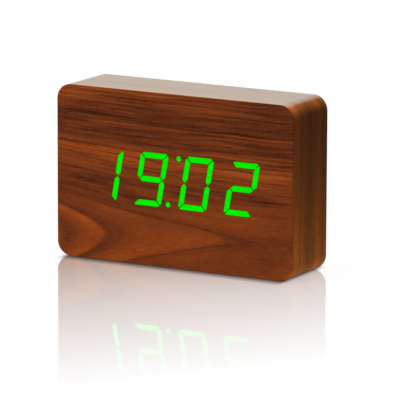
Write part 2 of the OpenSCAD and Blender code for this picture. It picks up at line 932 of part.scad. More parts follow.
// Centre line of a conical spring: a short leg, the curls and another short leg
spring_steps = spring_turns * rings_per_turn;
function spring_side(i) = [0, cos(360 * i / rings_per_turn), sin(360 * i / rings_per_turn)];
function spring_point(i) =
  let (part = i / spring_steps)
  [spring_wire + part * (spring_h - 2 * spring_wire), 0, 0]
    + (spring_base_r + part * (spring_tip_r - spring_base_r)) * spring_side(i);
spring_path = [
  spring_base_r * spring_side(0),
  each [for (i = [0:spring_steps]) spring_point(i)],
  [spring_h, 0, 0] + spring_tip_r * spring_side(spring_steps)
];
spring_sides = [
  spring_side(0),
  each [for (i = [0:spring_steps]) spring_side(i)],
  spring_side(spring_steps)
];

// Least gap between two curls, measured from each point to those half a turn or more further on
spring_gap = min([for (i = [0:spring_steps], k = [i + rings_per_turn / 2:spring_steps])
  norm(spring_point(i) - spring_point(k))]) - spring_wire;
echo(least_spring_gap = spring_gap);

module battery_springs() {
  color("silver")
    for (i = [0:cell_count - 1])
      at_bay_end(!nub_right(i), i)
        tube(spring_path, spring_sides, spring_wire / 2, 6);
}

// Wire from a solder tab to the battery header, as a smooth curve with straight ends
module lead(i, shift) {
  start = [tab_x, cell_y, cell_z(i)];
  end = [header_x, lead_y, mid_z + shift];
  reach = [(end.x - start.x) * 0.6, 0, 0];
  steps = 10;
  curve = [for (k = [0:steps])
    let (t = k / steps, u = 1 - t, a = start + [lead_d, 0, 0], b = end - [lead_d, 0, 0])
    u * u * u * a + 3 * u * u * t * (a + reach) + 3 * u * t * t * (b - reach) + t * t * t * b];
  path = [start, each curve, end];
  tube(path, [for (p = path) [0, 1, 0]], lead_d / 2, 8);
}

module positive_lead() {
  color("red")
    lead(0, -lead_split / 2);
}

module negative_lead() {
  color("black")
    lead(3, lead_split / 2);
}

module battery_header() {
  color("ivory")
    translate([header_x, 0, mid_z])
      block([0, main_y0 - header_side, -lead_split], [header_side, main_y0, lead_split]);
}

module main_board() {
  color("darkgreen")
    difference() {
      slab(main_y0, main_y1)
        translate([controls_x, mid_z])
          square([main_w, main_h], center = true);
      at_bosses()
        rod_y(0, 0, main_y0 - cut, main_y1 + cut, thread_d + 2 * hole_gap);
    }
}

module main_board_screws() {
  color("silver")
    at_bosses()
      translate([0, main_y0, 0])
        rotate([90, 0, 0])
          screw(thread_d, pcb_t + main_bite, head_d, head_h);
}

module controller_chip() {
  color("#202022")
    translate([controls_x, main_y0, buzzer_z])
      block([-chip_l / 2, -chip_h, -chip_w / 2], [chip_l / 2, 0, chip_w / 2]);
}

module clock_crystal() {
  color("silver")
    translate([controls_x + chip_l / 2 + 2 * crystal_d, main_y0 - crystal_d / 2, buzzer_z])
      cylinder(h = crystal_len, d = crystal_d, center = true);
}

module capacitors() {
  color("midnightblue")
    for (s = [-1, 1])
      rod_y(controls_x + s * capacitor_pitch / 2, port_z, main_y0 - capacitor_h, main_y0, capacitor_d);
}

module chip_resistors() {
  color("#303030")
    for (i = [0:resistor_count - 1])
      translate([controls_x + (i - (resistor_count - 1) / 2) * 2 * resistor_l, main_y0, mid_z + chip_w])
        block([-resistor_l / 2, -resistor_h, -resistor_w / 2], [resistor_l / 2, 0, resistor_w / 2]);
}

module ribbon_header(y0, z) {
  translate([ribbon_x, y0, z])
    block([-(ribbon_w + header_over) / 2, 0, -header_side / 2],
      [(ribbon_w + header_over) / 2, header_side, header_side / 2]);
}

module ribbon_headers() {
  color("#202022") {
    ribbon_header(ribbon_y1, ribbon_z);
    ribbon_header(display_y, ribbon_z - 2 * ribbon_r - ribbon_run);
  }
}

// A quarter bend of the ribbon, turned about X
module ribbon_bend(y, z, turn) {
  translate([ribbon_x, y, z])
    rotate([turn, 0, 0])
      rotate([0, 90, 0])
        rotate_extrude(angle = 90)
          translate([ribbon_r - ribbon_t / 2, -ribbon_w / 2])
            square([ribbon_t, ribbon_w]);
}

module ribbon_cable() {
  color("lightgray")
    union() {
      ribbon_bend(ribbon_y1, ribbon_z - ribbon_r, 180);
      ribbon_bend(ribbon_y0, ribbon_z - ribbon_r - ribbon_run, 0);
      translate([ribbon_x, (ribbon_y0 + ribbon_y1) / 2, ribbon_z - ribbon_r])
        block([-ribbon_w / 2, -ribbon_t / 2, -ribbon_run], [ribbon_w / 2, ribbon_t / 2, 0]);
    }
}

module buzzer() {
  color("#202022")
    difference() {
      rod_y(controls_x, buzzer_z, main_y1, cover_y0 - buzzer_gap, buzzer_d);
      rod_y(controls_x, buzzer_z, cover_y0 - buzzer_gap - sound_d, cover_y0, sound_d);
    }
}

module microphone() {
  color("silver")
    rod_y(controls_x - port_x, port_z, main_y1, main_y1 + mic_h, mic_d);
}

// Rubber boot that leads the sound from the cover's hole to the microphone
module microphone_boot() {
  color("#2a2a2c")
    difference() {
      rod_y(controls_x - port_x, port_z, main_y1, cover_y0, mic_d + 2 * boot_wall);
      rod_y(controls_x - port_x, port_z, main_y1 - cut, main_y1 + mic_h + glue_gap, mic_d + 2 * glue_gap);
      rod_y(controls_x - port_x, port_z, main_y1, cover_y0 + cut, sound_d);
    }
}

// Metal shell of the power socket, with its mouth just below the cover's face
module power_socket() {
  color("silver")
    translate([controls_x + port_x, 0, port_z])
      difference() {
        block([-socket_w / 2, main_y1, -socket_h / 2], [socket_w / 2, cover_y1 - head_sink, socket_h / 2]);
        block([socket_wall - socket_w / 2, main_y1 + socket_wall, socket_wall - socket_h / 2],
          [socket_w / 2 - socket_wall, cover_y1 + cut, socket_h / 2 - socket_wall]);
      }
}

module socket_tongue() {
  color("#202022")
    translate([controls_x + port_x, 0, port_z])
      block([-socket_w / 4, main_y1 + socket_wall, -socket_wall],
        [socket_w / 4, cover_y1 - pcb_t, socket_wall]);
}

module switch_bodies() {
  color("#303030")
    for (x = [set_x, up_x, down_x])
      translate([x, 0, button_z])
        difference() {
          block([-switch_side / 2, main_y1, -switch_side / 2],
            [switch_side / 2, main_y1 + switch_h, switch_side / 2]);
          rod_y(0, 0, main_y1 + switch_h - plunger_in - 2 * button_travel, main_y1 + switch_h + cut,
            plunger_d + 2 * plunger_gap);
        }
}

module plunger(x) {
  color("#1b1b1d")
    rod_y(x, button_z, main_y1 + switch_h - plunger_in, main_y1 + switch_h + plunger_out, plunger_d);
}

module set_plunger() plunger(set_x);
module up_plunger() plunger(up_x);
module down_plunger() plunger(down_x);

// Button with a flange inside the cover and a mark sunk in its face
module button(x) {
  flange_y = main_y1 + switch_h + plunger_out;
  face_y = cover_y1 + button_proud;
  color("#2c2c2f")
    difference() {
      union() {
        rod_y(x, button_z, flange_y, flange_y + flange_t, button_d + 2 * flange_w);
        rod_y(x, button_z, flange_y, face_y, button_d);
      }
      translate([x, 0, button_z])
        slab(face_y - mark_t, face_y + cut)
          children();
    }
}

module set_button() {
  button(set_x)
    circle(mark_r * 0.6);
}

module up_button() {
  button(up_x)
    rotate(90)
      circle(mark_r, $fn = 3);
}

module down_button() {
  button(down_x)
    rotate(-90)
      circle(mark_r, $fn = 3);
}

front_veneer();
lit_segments();
colon_dots();
band_veneer();
rear_edge_veneer();
case_top();
case_bottom();
case_left();
case_right();
case_dowels();
corner_blocks();
front_board();
display_film();
display_reflector();
light_guides();
display_leds();
display_board();
driver_chips();
display_spacers();
display_screws();
rear_cover();
rear_cover_screws();
battery_door();
battery_cells();
battery_contacts();
battery_springs();
positive_lead();
negative_lead();
battery_header();
main_board();
main_board_screws();
controller_chip();
clock_crystal();
capacitors();
chip_resistors();
ribbon_headers();
ribbon_cable();
buzzer();
microphone();
microphone_boot();
power_socket();
socket_tongue();
switch_bodies();
set_plunger();
up_plunger();
down_plunger();
set_button();
up_button();
down_button();
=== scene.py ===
import math
import bpy
import numpy as np
from mathutils import Matrix, Vector


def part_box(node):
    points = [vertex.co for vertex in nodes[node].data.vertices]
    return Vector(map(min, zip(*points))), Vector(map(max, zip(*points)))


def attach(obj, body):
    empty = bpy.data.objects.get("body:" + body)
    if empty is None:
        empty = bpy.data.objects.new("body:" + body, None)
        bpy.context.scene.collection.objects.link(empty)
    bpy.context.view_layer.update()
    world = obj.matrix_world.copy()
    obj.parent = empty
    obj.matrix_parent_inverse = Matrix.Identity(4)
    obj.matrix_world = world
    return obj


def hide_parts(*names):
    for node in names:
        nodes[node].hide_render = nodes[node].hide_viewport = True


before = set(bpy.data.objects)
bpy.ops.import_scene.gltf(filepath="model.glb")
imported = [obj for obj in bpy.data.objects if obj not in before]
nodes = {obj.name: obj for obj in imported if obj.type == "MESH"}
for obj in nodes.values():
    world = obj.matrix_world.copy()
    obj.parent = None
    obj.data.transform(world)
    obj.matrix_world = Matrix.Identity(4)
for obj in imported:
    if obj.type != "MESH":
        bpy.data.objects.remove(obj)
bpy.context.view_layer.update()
scene = bpy.context.scene
scene.view_settings.view_transform = "Standard"
mm = 0.001
print("frame:", len(nodes), "nodes")


def boxOf(node):  # a node's lowest and highest corners in mm
    return [[value / mm for value in corner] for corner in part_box(node)]


def middleOf(node):
    return [(low + high) / 2 for low, high in zip(*boxOf(node))]


# camera: turned and raised round the clock as in the picture, long lens, no shift
camera = {"turn": 29.282, "rise": 11.372, "roll": 0.19, "spot": (1084.3, -1923.38, 479.39), "lens": 363.27}


def makeCamera():
    turn, rise, roll = (math.radians(camera[key]) for key in ("turn", "rise", "roll"))
    back = Vector((math.sin(turn) * math.cos(rise), -math.cos(turn) * math.cos(rise), math.sin(rise)))
    right = Vector((0, 0, 1)).cross(back).normalized()
    up = back.cross(right)
    side = right * math.cos(roll) + up * math.sin(roll)
    over = up * math.cos(roll) - right * math.sin(roll)
    data = bpy.data.cameras.new("camera")
    data.lens = camera["lens"]
    eye = bpy.data.objects.new("camera", data)
    pose = Matrix((side, over, back)).transposed().to_4x4()
    pose.translation = Vector(camera["spot"]) * mm
    eye.matrix_world = pose
    scene.collection.objects.link(eye)
    scene.camera = eye


makeCamera()
print("camera set")


def shade(colour):  # a screen colour, 0 to 255, as a linear one
    levels = (level / 255 for level in colour)
    return tuple(c / 12.92 if c <= 0.04045 else ((c + 0.055) / 1.055) ** 2.4 for c in levels) + (1,)


def tint(colour, factor):  # the same screen colour, darker or paler
    return tuple(min(255, level * factor) for level in colour)


class Wire:
    # one socket of a node tree: arithmetic on it adds Math nodes
    def __init__(self, tree, socket=None):
        self.tree = tree
        self.socket = socket

    def add(self, kind, settings=None, inputs=None, out=0):
        # any node: its settings first, then values or links for its sockets
        node = self.tree.nodes.new("ShaderNode" + kind)
        for key, value in (settings or {}).items():
            setattr(node, key, value)
        for key, value in (inputs or {}).items():
            if isinstance(value, Wire):
                self.tree.links.new(value.socket, node.inputs[key])
            else:
                node.inputs[key].default_value = value
        return Wire(self.tree, node.outputs[out])

    def maths(self, operation, *values):
        return self.add("Math", {"operation": operation}, dict(enumerate(values)))

    def do(self, operation, *others):  # the same with this socket as the first value
        return self.maths(operation, self, *others)

    def pair(operation):  # an operator and its reflected form
        return (lambda self, other: self.maths(operation, self, other),
                lambda self, other: self.maths(operation, other, self))

    __add__, __radd__ = pair("ADD")
    __sub__, __rsub__ = pair("SUBTRACT")
    __mul__, __rmul__ = pair("MULTIPLY")
    __truediv__, __rtruediv__ = pair("DIVIDE")

    def __abs__(self):
        return self.do("ABSOLUTE")

    def into(self, node, name):
        self.tree.links.new(self.socket, node.inputs[name])


def newFinish(name, **fixed):
    # a Principled material whose even sockets are set here, and places on it in mm
    words = {"specular": "Specular IOR Level", "coat": "Coat Weight", "coatRoughness": "Coat Roughness",
             "coatIor": "Coat IOR", "glow": "Emission Strength", "clear": "Transmission Weight",
             "under": "Subsurface Weight", "underScale": "Subsurface Scale", "sheen": "Sheen Weight",
             "colour": "Base Color"}
    material = bpy.data.materials.new(name)
    material.use_nodes = True
    for key, value in fixed.items():
        material.node_tree.nodes["Principled BSDF"].inputs[words[key]].default_value = value
    return (material,) + millimetres(Wire(material.node_tree))


def cover(material, colour=None, roughness=None, relief=None, metallic=None, coat=None, light=None):
    # what changes over the surface
    links = {"Base Color": colour, "Roughness": roughness, "Normal": relief, "Metallic": metallic,
             "Coat Weight": coat, "Emission Color": light}
    for name, wire in links.items():
        if wire:
            wire.into(material.node_tree.nodes["Principled BSDF"], name)
    return material


def axes(vector):  # x, y and z of a vector
    split = vector.add("SeparateXYZ", None, {"Vector": vector}).socket.node
    return tuple(Wire(vector.tree, socket) for socket in split.outputs)


def millimetres(start):  # the object's own coordinates in mm, as one vector and as x, y, z
    place = start.add("TexCoord", out="Object")
    spot = start.add("VectorMath", {"operation": "SCALE"}, {"Vector": place, "Scale": 1 / mm})
    return (spot,) + axes(spot)


def facing(start, kind="True Normal"):  # how far the surface faces along x, y and z
    return axes(start.add("NewGeometry", out=kind))


def softEdge(start, radius, samples):  # normals rounded over the edges, and how far they keep to the flat ones
    rounded = start.add("Bevel", {"samples": samples}, {"Radius": radius * mm})
    flat = start.add("NewGeometry", out="True Normal")
    return rounded, start.add("VectorMath", {"operation": "DOT_PRODUCT"}, {0: rounded, 1: flat}, out="Value")


def joinXyz(x, y, z):
    return x.add("CombineXYZ", None, {"X": x, "Y": y, "Z": z})


def drawnOut(spot, sizes):  # places with x, y and z each in units of its own size
    return spot.add("VectorMath", {"operation": "DIVIDE"}, {0: spot, 1: sizes})


def noise(vector, size=1, detail=2, rough=0.5):  # 0 to 1, about 0.5
    return vector.add("TexNoise", None,
                      {"Vector": vector, "Scale": 1 / size, "Detail": detail, "Roughness": rough})


def smooth(value, low, high, kind="SMOOTHSTEP"):  # 0 below low, 1 above high
    return value.add("MapRange", {"interpolation_type": kind}, {"Value": value, "From Min": low, "From Max": high})


def past(value, limit, soft=0.05):  # 0 below the limit, 1 above it
    return smooth(value, limit - soft, limit + soft)


def within(value, limit, soft=0.05):  # 1 below the limit, 0 above it
    return 1 - past(value, limit, soft)


def nearest(value, middle, pitch):  # distance from the nearest place of an even row, either way
    return abs((((value - middle) / pitch + 0.5).do("FRACT") - 0.5) * pitch)


def span(a, b):  # length of the vector a, b
    return (a * a + b * b).do("SQRT")


def spread(a, b):  # soft round cloud: exp(-(a^2 + b^2))
    return ((a * a + b * b) * -1).do("EXPONENT")


def mixColour(factor, a, b):  # a tuple is a screen colour
    a, b = (shade(side) if isinstance(side, tuple) else side for side in (a, b))
    return factor.add("Mix", {"data_type": "RGBA"}, {0: factor, 6: a, 7: b}, out=2)


def layered(colour, *layers):  # colours laid over the first, each by its own share
    for share, over in layers:
        colour = mixColour(share, colour, over)
    return colour


def twoTone(factor, grain, a, b):  # two mottled finishes, each a pair of colours
    return mixColour(factor, mixColour(grain, *a), mixColour(grain, *b))


def ramp(value, stops, blend):  # a colour for each place, the first at 0 and the last at 1
    wire = value.add("ValToRGB", None, {"Fac": value})
    scale = wire.socket.node.color_ramp
    scale.interpolation = blend
    scale.elements[0].color, scale.elements[1].color = stops[0][1], stops[-1][1]
    for place, colour in stops[1:-1]:
        scale.elements.new(place).color = colour
    return wire


def tones(value, stops):  # a ramp of screen colours
    return ramp(value, [(at, shade(colour)) for at, colour in stops], "LINEAR")


def greys(value, stops):  # a ramp of levels from the first stop's place to the last one's
    low, high = stops[0][0], stops[-1][0]
    placed = [((at - low) / (high - low), (level, level, level, 1)) for at, level in stops]
    return value.add("RGBToBW", None, {"Color": ramp((value - low) / (high - low), placed, "EASE")})


def bump(height, depth, strength=0.7, over=None):  # depth in mm for a height of 1
    return height.add("Bump", None, {"Height": height, "Distance": depth * mm, "Strength": strength,
                                     **({"Normal": over} if over else {})})


# veneer: what fibres and pores do to the sheen and the surface of every walnut sheet
veneer = {"pore": (0.6, 0.72), "fibreRough": 0.15, "poreRough": 0.1, "fibreHeight": 0.4, "depth": 0.03,
          "relief": 0.6}


def openPores(vector):
    return smooth(noise(vector, detail=1), *veneer["pore"])


def grainTouch(fibre, pore, roughness):  # roughness and relief
    return (roughness + fibre * veneer["fibreRough"] + pore * veneer["poreRough"],
            bump(fibre * veneer["fibreHeight"] - pore, veneer["depth"], veneer["relief"]))


# front walnut: flat-cut veneer whose arches point to the right, under long level stripes
front = {
    "archMiddle": 15.3, "archRound": 25, "archReach": 3.4, "archEnd": 78, "archFade": 52,
    "tilt": 0.07, "tiltMiddle": 2.6, "tiltMost": 4.1, "tiltFade": 28, "archTop": (20, 50),
    "waver": 1.3, "stripes": 0.8, "streaks": 0.85, "clouds": 0.5, "fibres": 0.8, "pores": 1.3, "roughness": 0.5,
    # length and width of each kind of mark in mm, and the plane that its noise is cut from
    "marks": {"sway": (46, 17, 0), "stripe": (70, 1.5, 3), "cloud": (36, 6, 9),
              "streak": (40, 1.5, 6), "fibre": (6, 0.55, 5), "pore": (3.4, 0.5, 7)},
    "fibreSlope": 0.0165, "poreSlope": 0.01,
    # the sheet's cut edges round the lit cells, painted dark green as stray light: width, and half the window's
    # width and height
    "edge": 0.5, "edgeSeen": (0.45, 0.97), "stray": 0.97, "strayColour": (4, 84, 2), "window": (66, 36),
    "windowSoft": 2, "middle": 49,
    # ring level from the arches' middle outwards, and how light the wood is there: arches, then stripes
    "arches": [
        (10, 0.22), (14.4, 0.28), (15.3, 0.42), (16.4, 0.68), (17.6, 0.88), (18.6, 0.92), (18.95, 0.46),
        (19.3, 0.38), (20, 0.44), (21.2, 0.68), (22.6, 0.86), (24, 0.86), (24.65, 0.74), (24.85, 0.3),
        (25.1, 0.48), (25.8, 0.62), (27, 0.62), (29.5, 0.52), (31, 0.56), (33, 0.5), (35.5, 0.44), (37.4, 0.5),
        (38.1, 0.24), (38.9, 0.54), (40, 0.6)],
    "lines": [
        (40, 0.6), (41.3, 0.66), (43, 0.54), (44.8, 0.68), (46.6, 0.74), (48.2, 0.9), (49.4, 0.92), (49.8, 0.45),
        (50.4, 0.92), (51.6, 0.82), (53, 0.52), (54.6, 0.46), (56, 0.6), (57.3, 0.32), (59.5, 0.36), (62, 0.28),
        (64.5, 0.36), (66, 0.26), (67.2, 0.56), (68.2, 0.28), (70, 0.22), (72, 0.32), (74, 0.26), (76.5, 0.34),
        (79, 0.44), (80.6, 0.48), (81.1, 0.24), (81.8, 0.52), (84, 0.6), (88, 0.46)],
    # broad darker or lighter clouds: middle x and z, half length, half height, amount
    "patches": [
        (-60, 37, 36, 10, -0.26), (-12, 24, 32, 4, -0.18), (62, 13, 24, 10, -0.15), (-48, 80, 24, 5, -0.12),
        (-72, 88, 16, 4, 0.16), (50, 31, 38, 6, 0.16), (66, 1, 22, 6, 0.22), (-66, 92.5, 34, 4, 0.2),
        (66, 95, 26, 7, -0.22), (75, 60, 12, 6, -0.14), (-75, 11, 4, 9, 0.4), (-75, 29, 14, 3, 0.2),
        (-54, 23, 9, 3, 0.15), (-51, 10, 6, 4, -0.13), (-74, 35, 8, 3, -0.13), (-34, 70, 16, 5, 0.12),
        (10, 87, 60, 3, 0.09), (76, 7, 7, 4, -0.2), (64, 17.5, 16, 3, 0.14), (74, 31, 9, 6, -0.12)],
    "colours": [(0, (60, 28, 16)), (0.25, (84, 40, 21)), (0.5, (108, 51, 23)), (0.75, (126, 58, 23)),
                (1, (150, 72, 28))],
}


def walnutFront():
    material, _, x, _, z = newFinish("walnutFront", specular=0.01)

    def marks(kind, over):
        length, width, plane = front["marks"][kind]
        return joinXyz(x / length, plane, over / width)

    # rings: sqrt(u^2 + round^2) - reach ((end - x) / 100)^3 exp(-(max(u, 0) / fade)^2), u the height over
    # the arches' middle, which tilts upwards to the right
    sway = noise(marks("sway", z), detail=3) - 0.5
    height = z - front["archMiddle"]
    above = height.do("MAXIMUM", 0) / front["tiltFade"]
    tilt = (x * front["tilt"] + front["tiltMiddle"]).do("MINIMUM", front["tiltMost"])
    u = height + sway * (2 * front["waver"]) - tilt * (above * above * -1).do("EXPONENT")
    lift = u.do("MAXIMUM", 0) / front["archFade"]
    left = (front["archEnd"] - x) / 100
    reach = left * left * left * front["archReach"] * (lift * lift * -1).do("EXPONENT")
    ring = (u * u + front["archRound"] ** 2).do("SQRT") - reach
    low, high = greys(ring, front["arches"]), greys(ring, front["lines"])
    tone = low + (high - low) * ring.do("GREATER_THAN", front["lines"][0][0])
    upper = smooth(z, *front["archTop"])  # the level stripes fade out over the arches
    stripe = noise(marks("stripe", ring), detail=5, rough=0.62) - 0.5
    cloud = noise(marks("cloud", ring)) - 0.5
    streak = noise(marks("streak", ring), detail=1) - 0.5
    fibre = noise(marks("fibre", z + x * front["fibreSlope"]), rough=0.6) - 0.5
    pore = openPores(marks("pore", z + x * front["poreSlope"]))
    tone = (tone * 0.9 + 0.05 + stripe * (upper * 0.78 + 0.22) * (2 * front["stripes"])
            + streak * upper * front["streaks"] + cloud * front["clouds"]
            + fibre * (1 - upper * 0.55) * front["fibres"] - pore * (upper * 0.2 + 0.1) * front["pores"])
    for atX, atZ, longHalf, highHalf, amount in front["patches"]:
        tone = tone + spread((x - atX) / longHalf, (z - atZ) / highHalf) * amount
    # painted stray light: within a hair of the sheet's own edges the wood round the lit cells is painted darker and
    # greener
    inside = x.add("AmbientOcclusion", {"samples": 8, "inside": True, "only_local": True},
                   {"Distance": front["edge"] * mm}, out="AO")
    edge = 1 - smooth(inside, *front["edgeSeen"])
    for value, half in zip((x, z - front["middle"]), front["window"]):
        edge = edge * (1 - smooth(abs(value), half, half + front["windowSoft"]))
    colour = mixColour(edge * front["stray"], tones(tone, front["colours"]), front["strayColour"])
    return cover(material, colour, *grainTouch(fibre, pore, front["roughness"]))


# band walnut: straight-cut strip whose stripes run round the clock
band = {
    "stripes": 0.52, "fibres": 0.4, "pores": 0.5, "roughness": 0.5, "topShine": 0.95, "topStreak": 0.8,
    # the top's bleach and fade are painted sheen and painted light, and the rubbing of the rounding is painted
    # light
    "topPaintedSheen": 0.34, "topPaintedLight": 0.05, "wearAndPaintedLight": 1.6, "paintedLightStreak": 1.3,
    # length and width of each kind of mark in mm
    "marks": {"stripe": (90, 1.25), "fibre": (12, 0.55), "pore": (4, 0.5)}, "rearClouds": (80, 6),
    # how far the wood faces up where lacquer, the painted sheen on the top and the painted light on the rounding
    # set in and where they are whole
    "lacquerFrom": (0.8, 0.97), "paintedSheenFrom": (0.84, 0.985), "paintedLightFrom": (0, 0.8), "paintedLightUntil": (0.9, 1),
    "paintedLightAlong": (-70, 70), "paintedLightLeast": 0.15,
    # depth from the front, in mm about the middle, and how light the wood is there
    "bands": [
        (-20, 0.66), (-15, 0.68), (-12.5, 0.52), (-9, 0.4), (-6, 0.36), (-3.5, 0.18), (0, 0.19), (3, 0.3),
        (6, 0.35), (9, 0.5), (12, 0.52), (14.5, 0.26), (17, 0.32), (20, 0.3)],
    "colours": [(0, (58, 32, 15)), (0.3, (84, 45, 18)), (0.55, (108, 57, 22)), (0.8, (132, 70, 27)),
                (1, (158, 88, 38))],
    # painted sheen: the pale colour that what faces up is mixed towards
    "paintedSheenColour": (158, 143, 102),
    # painted shade: darker low at the front of the band: middle y and z, half width, half height, amount
    "cloud": (-17, 3, 5, 10, -0.24),
}


def walnutBand(name, across, shineAndPaintedLight):
    # across: the axis that the stripes lie over; shine: lacquer, and painted light and painted sheen on what faces
    # up
    material, _, x, y, z = newFinish(name, specular=0.01, coatRoughness=0.28, coatIor=1.66)
    over, other = (y, z) if across == "y" else (z, y)

    def marks(kind):
        length, width = band["marks"][kind]
        return joinXyz(x / length, over / width, other / length)

    if across == "y":
        tone = greys(over, band["bands"])
    else:
        length, width = band["rearClouds"]
        tone = noise(joinXyz(x / length, 2, z / width), detail=3)
    stripe = noise(marks("stripe"), detail=4, rough=0.6) - 0.5
    fibre = noise(marks("fibre"), rough=0.6) - 0.5
    pore = openPores(marks("pore"))
    tone = (tone * 0.8 + 0.1 + stripe * (2 * band["stripes"]) + fibre * band["fibres"]
            - pore * (0.3 * band["pores"]))
    if across == "y":
        # painted shade, darker low at the front
        atY, atZ, wideHalf, highHalf, amount = band["cloud"]
        tone = tone + spread((y - atY) / wideHalf, (z - atZ) / highHalf) * amount
    colour, coat = tones(tone, band["colours"]), None
    if shineAndPaintedLight:
        up = facing(x, "Normal")[2]
        upward = up.do("MAXIMUM", 0)
        # painted light: the rounding is painted paler, most of all at the right-hand end
        wearAndPaintedLightShare = smooth(up, *band["paintedLightFrom"]) * (1 - smooth(up, *band["paintedLightUntil"]))
        wearAndPaintedLightShare = wearAndPaintedLightShare * (smooth(x, *band["paintedLightAlong"]) * (1 - band["paintedLightLeast"]) + band["paintedLightLeast"])
        # painted light: the colour is scaled paler the more the wood faces up, and paler still on the rounding
        paintedLightScale = (1 + upward * upward * band["topPaintedLight"]
                 + wearAndPaintedLightShare * band["wearAndPaintedLight"] * (1 + stripe * band["paintedLightStreak"]))
        colour = x.add("VectorMath", {"operation": "SCALE"}, {"Vector": colour, "Scale": paintedLightScale})
        # painted sheen: what faces up is mixed towards a pale colour
        colour = mixColour(smooth(up, *band["paintedSheenFrom"]) * band["topPaintedSheen"], colour, band["paintedSheenColour"])
        coat = smooth(up, *band["lacquerFrom"]) * (band["topShine"] + stripe * band["topStreak"])
    return cover(material, colour, *grainTouch(fibre, pore, band["roughness"]), coat=coat)


# lit veneer: the sheet over a lamp, its grain just showing through and its light falling off at the cell's rim
lit = {"dark": (0, 0, 0), "colour": (0, 255, 0), "skin": (0, 0.01, 0, 1), "glow": 1, "level": 0.87,
       "grain": 0.4, "fibre": (12, 5, 0.6), "streak": (40, 3, 1.6), "rim": 0.55, "rimSeen": (0.66, 0.98),
       "rimShade": 0.9}


def litVeneer():
    material, _, x, _, z = newFinish("litVeneer", specular=0, glow=lit["glow"], colour=lit["skin"])
    fibre, streak = (noise(joinXyz(x / length, plane, z / width), detail=3) - 0.5
                     for length, plane, width in (lit["fibre"], lit["streak"]))
    rim = 1 - smooth(softEdge(x, lit["rim"], 8)[1], *lit["rimSeen"])
    level = (lit["level"] + (fibre + streak) * lit["grain"]) * (1 - rim * lit["rimShade"])
    return cover(material, light=mixColour(level, lit["dark"], lit["colour"]))


# plain timber inside the case: pressed fibreboard and beech
timber = {"boardColours": [(0, (120, 90, 60)), (0.5, (166, 131, 92)), (1, (204, 172, 128))],
          "beechColours": [(0, (150, 104, 68)), (0.4, (198, 154, 108)), (1, (224, 186, 142))],
          "fluff": 0.45, "clump": 5, "strand": (1.6, 0.25, 0.5), "fuzz": 0.05, "grain": (14, 0.8),
          "fleck": (2.2, 0.3), "pit": 0.03}


def fibreboard():
    material, spot, *_ = newFinish("fibreboard", specular=0.2)
    fluff = noise(spot, timber["fluff"], detail=4, rough=0.7)
    clump = noise(spot, timber["clump"])
    strand = smooth(noise(drawnOut(spot, timber["strand"]), detail=1), 0.58, 0.7)
    return cover(material, tones(fluff * 0.6 + clump * 0.4 + strand * 0.22, timber["boardColours"]),
                 0.78 + fluff * 0.2, bump(fluff + strand * 0.5, timber["fuzz"], 0.8))


def beech(name, along):
    # along: the axis that the fibres follow
    material, spot, *_ = newFinish(name, specular=0.25)

    def drawn(length, width):
        return drawnOut(spot, (length, width, width) if along == "x" else (width, length, width))

    grain = noise(drawn(*timber["grain"]), detail=3, rough=0.6)
    fleck = smooth(noise(drawn(*timber["fleck"]), detail=0), 0.62, 0.7)  # the short dark rays of beech
    return cover(material, tones(grain * 0.9 + 0.1 - fleck * 0.4, timber["beechColours"]),
                 0.55 + grain * 0.2 + fleck * 0.1, bump(grain - fleck, timber["pit"]))


# moulded plastics: a flow of faint clouds, the mould's fine texture and edges rubbed a little paler
moulding = {"softEdge": 0.25, "wearAndPaintedLightShare": 0.5, "rubSeen": (0.8, 0.98), "rubPatch": 3, "flow": 17, "dark": 0.86,
            "light": 1.14, "polish": 0.18, "polishRadius": 3}


def moulded(name, colour, wearAndPaintedLight, roughness=0.5, texture=0.3, depth=0.012, polish=None):
    # texture and depth: size of the mould's texture in mm; polish: node whose middle is worn smooth
    material, spot, x, _, z = newFinish(name, specular=0.45)
    rounded, turned = softEdge(x, moulding["softEdge"], 4)
    fine = noise(spot, texture, rough=0.6)
    flow = noise(spot, moulding["flow"], detail=3) - 0.5
    patchy = smooth(noise(spot, moulding["rubPatch"], detail=3), 0.35, 0.7)
    edge = (1 - smooth(turned, *moulding["rubSeen"])) * patchy
    base = mixColour(fine * 0.6 + flow * 0.8 + 0.2, tint(colour, moulding["dark"]), tint(colour, moulding["light"]))
    rough = fine * 0.16 + flow * 0.2 + (roughness - 0.08)
    if polish:
        atX, _, atZ = middleOf(polish)
        rough = rough - (1 - smooth(span(x - atX, z - atZ), 0, moulding["polishRadius"])) * moulding["polish"]
    return cover(material, mixColour(edge * moulding["wearAndPaintedLightShare"], base, wearAndPaintedLight), rough, bump(fine, depth, 0.8, rounded))


# plated metals: cool or warm plating with faint clouds, rubbed lines and painted shade that darkens the metal
# deeper in its recess
plating = {"zinc": (196, 196, 198), "nickel": (206, 200, 190), "tin": (188, 190, 192), "can": (204, 206, 208),
           "dull": (150, 146, 138), "recessShade": (58, 55, 50), "dark": 0.88, "line": 0.2, "cloud": 2.6}


def plated(name, kind, roughness, along=(1, 1, 1), low=None):
    # along: how far the rubbed lines are drawn out on x, y, z; low: y from unshaded to fully in painted shade
    material, spot, _, y, _ = newFinish(name)
    lines = noise(drawnOut(spot, tuple(plating["line"] * drawn for drawn in along)))
    cloud = noise(spot, plating["cloud"], detail=3, rough=0.6)
    dull = smooth(cloud, 0.5, 0.75)
    colour = plating[kind]
    base = layered(tint(colour, plating["dark"]), (cloud, colour), (dull * 0.35, plating["dull"]))
    metal = 1 - dull * 0.12
    if low:
        # painted shade: darker and less metallic deeper in the recess
        recessShade = 1 - smooth(y, low[1], low[0])
        base = mixColour(recessShade * 0.85, base, plating["recessShade"])
        metal = metal - recessShade * 0.3
    return cover(material, base, lines * 0.16 + dull * 0.18 + (roughness - 0.08), bump(lines, 0.006, 0.6), metal)


print("timber, plastics and platings ready")

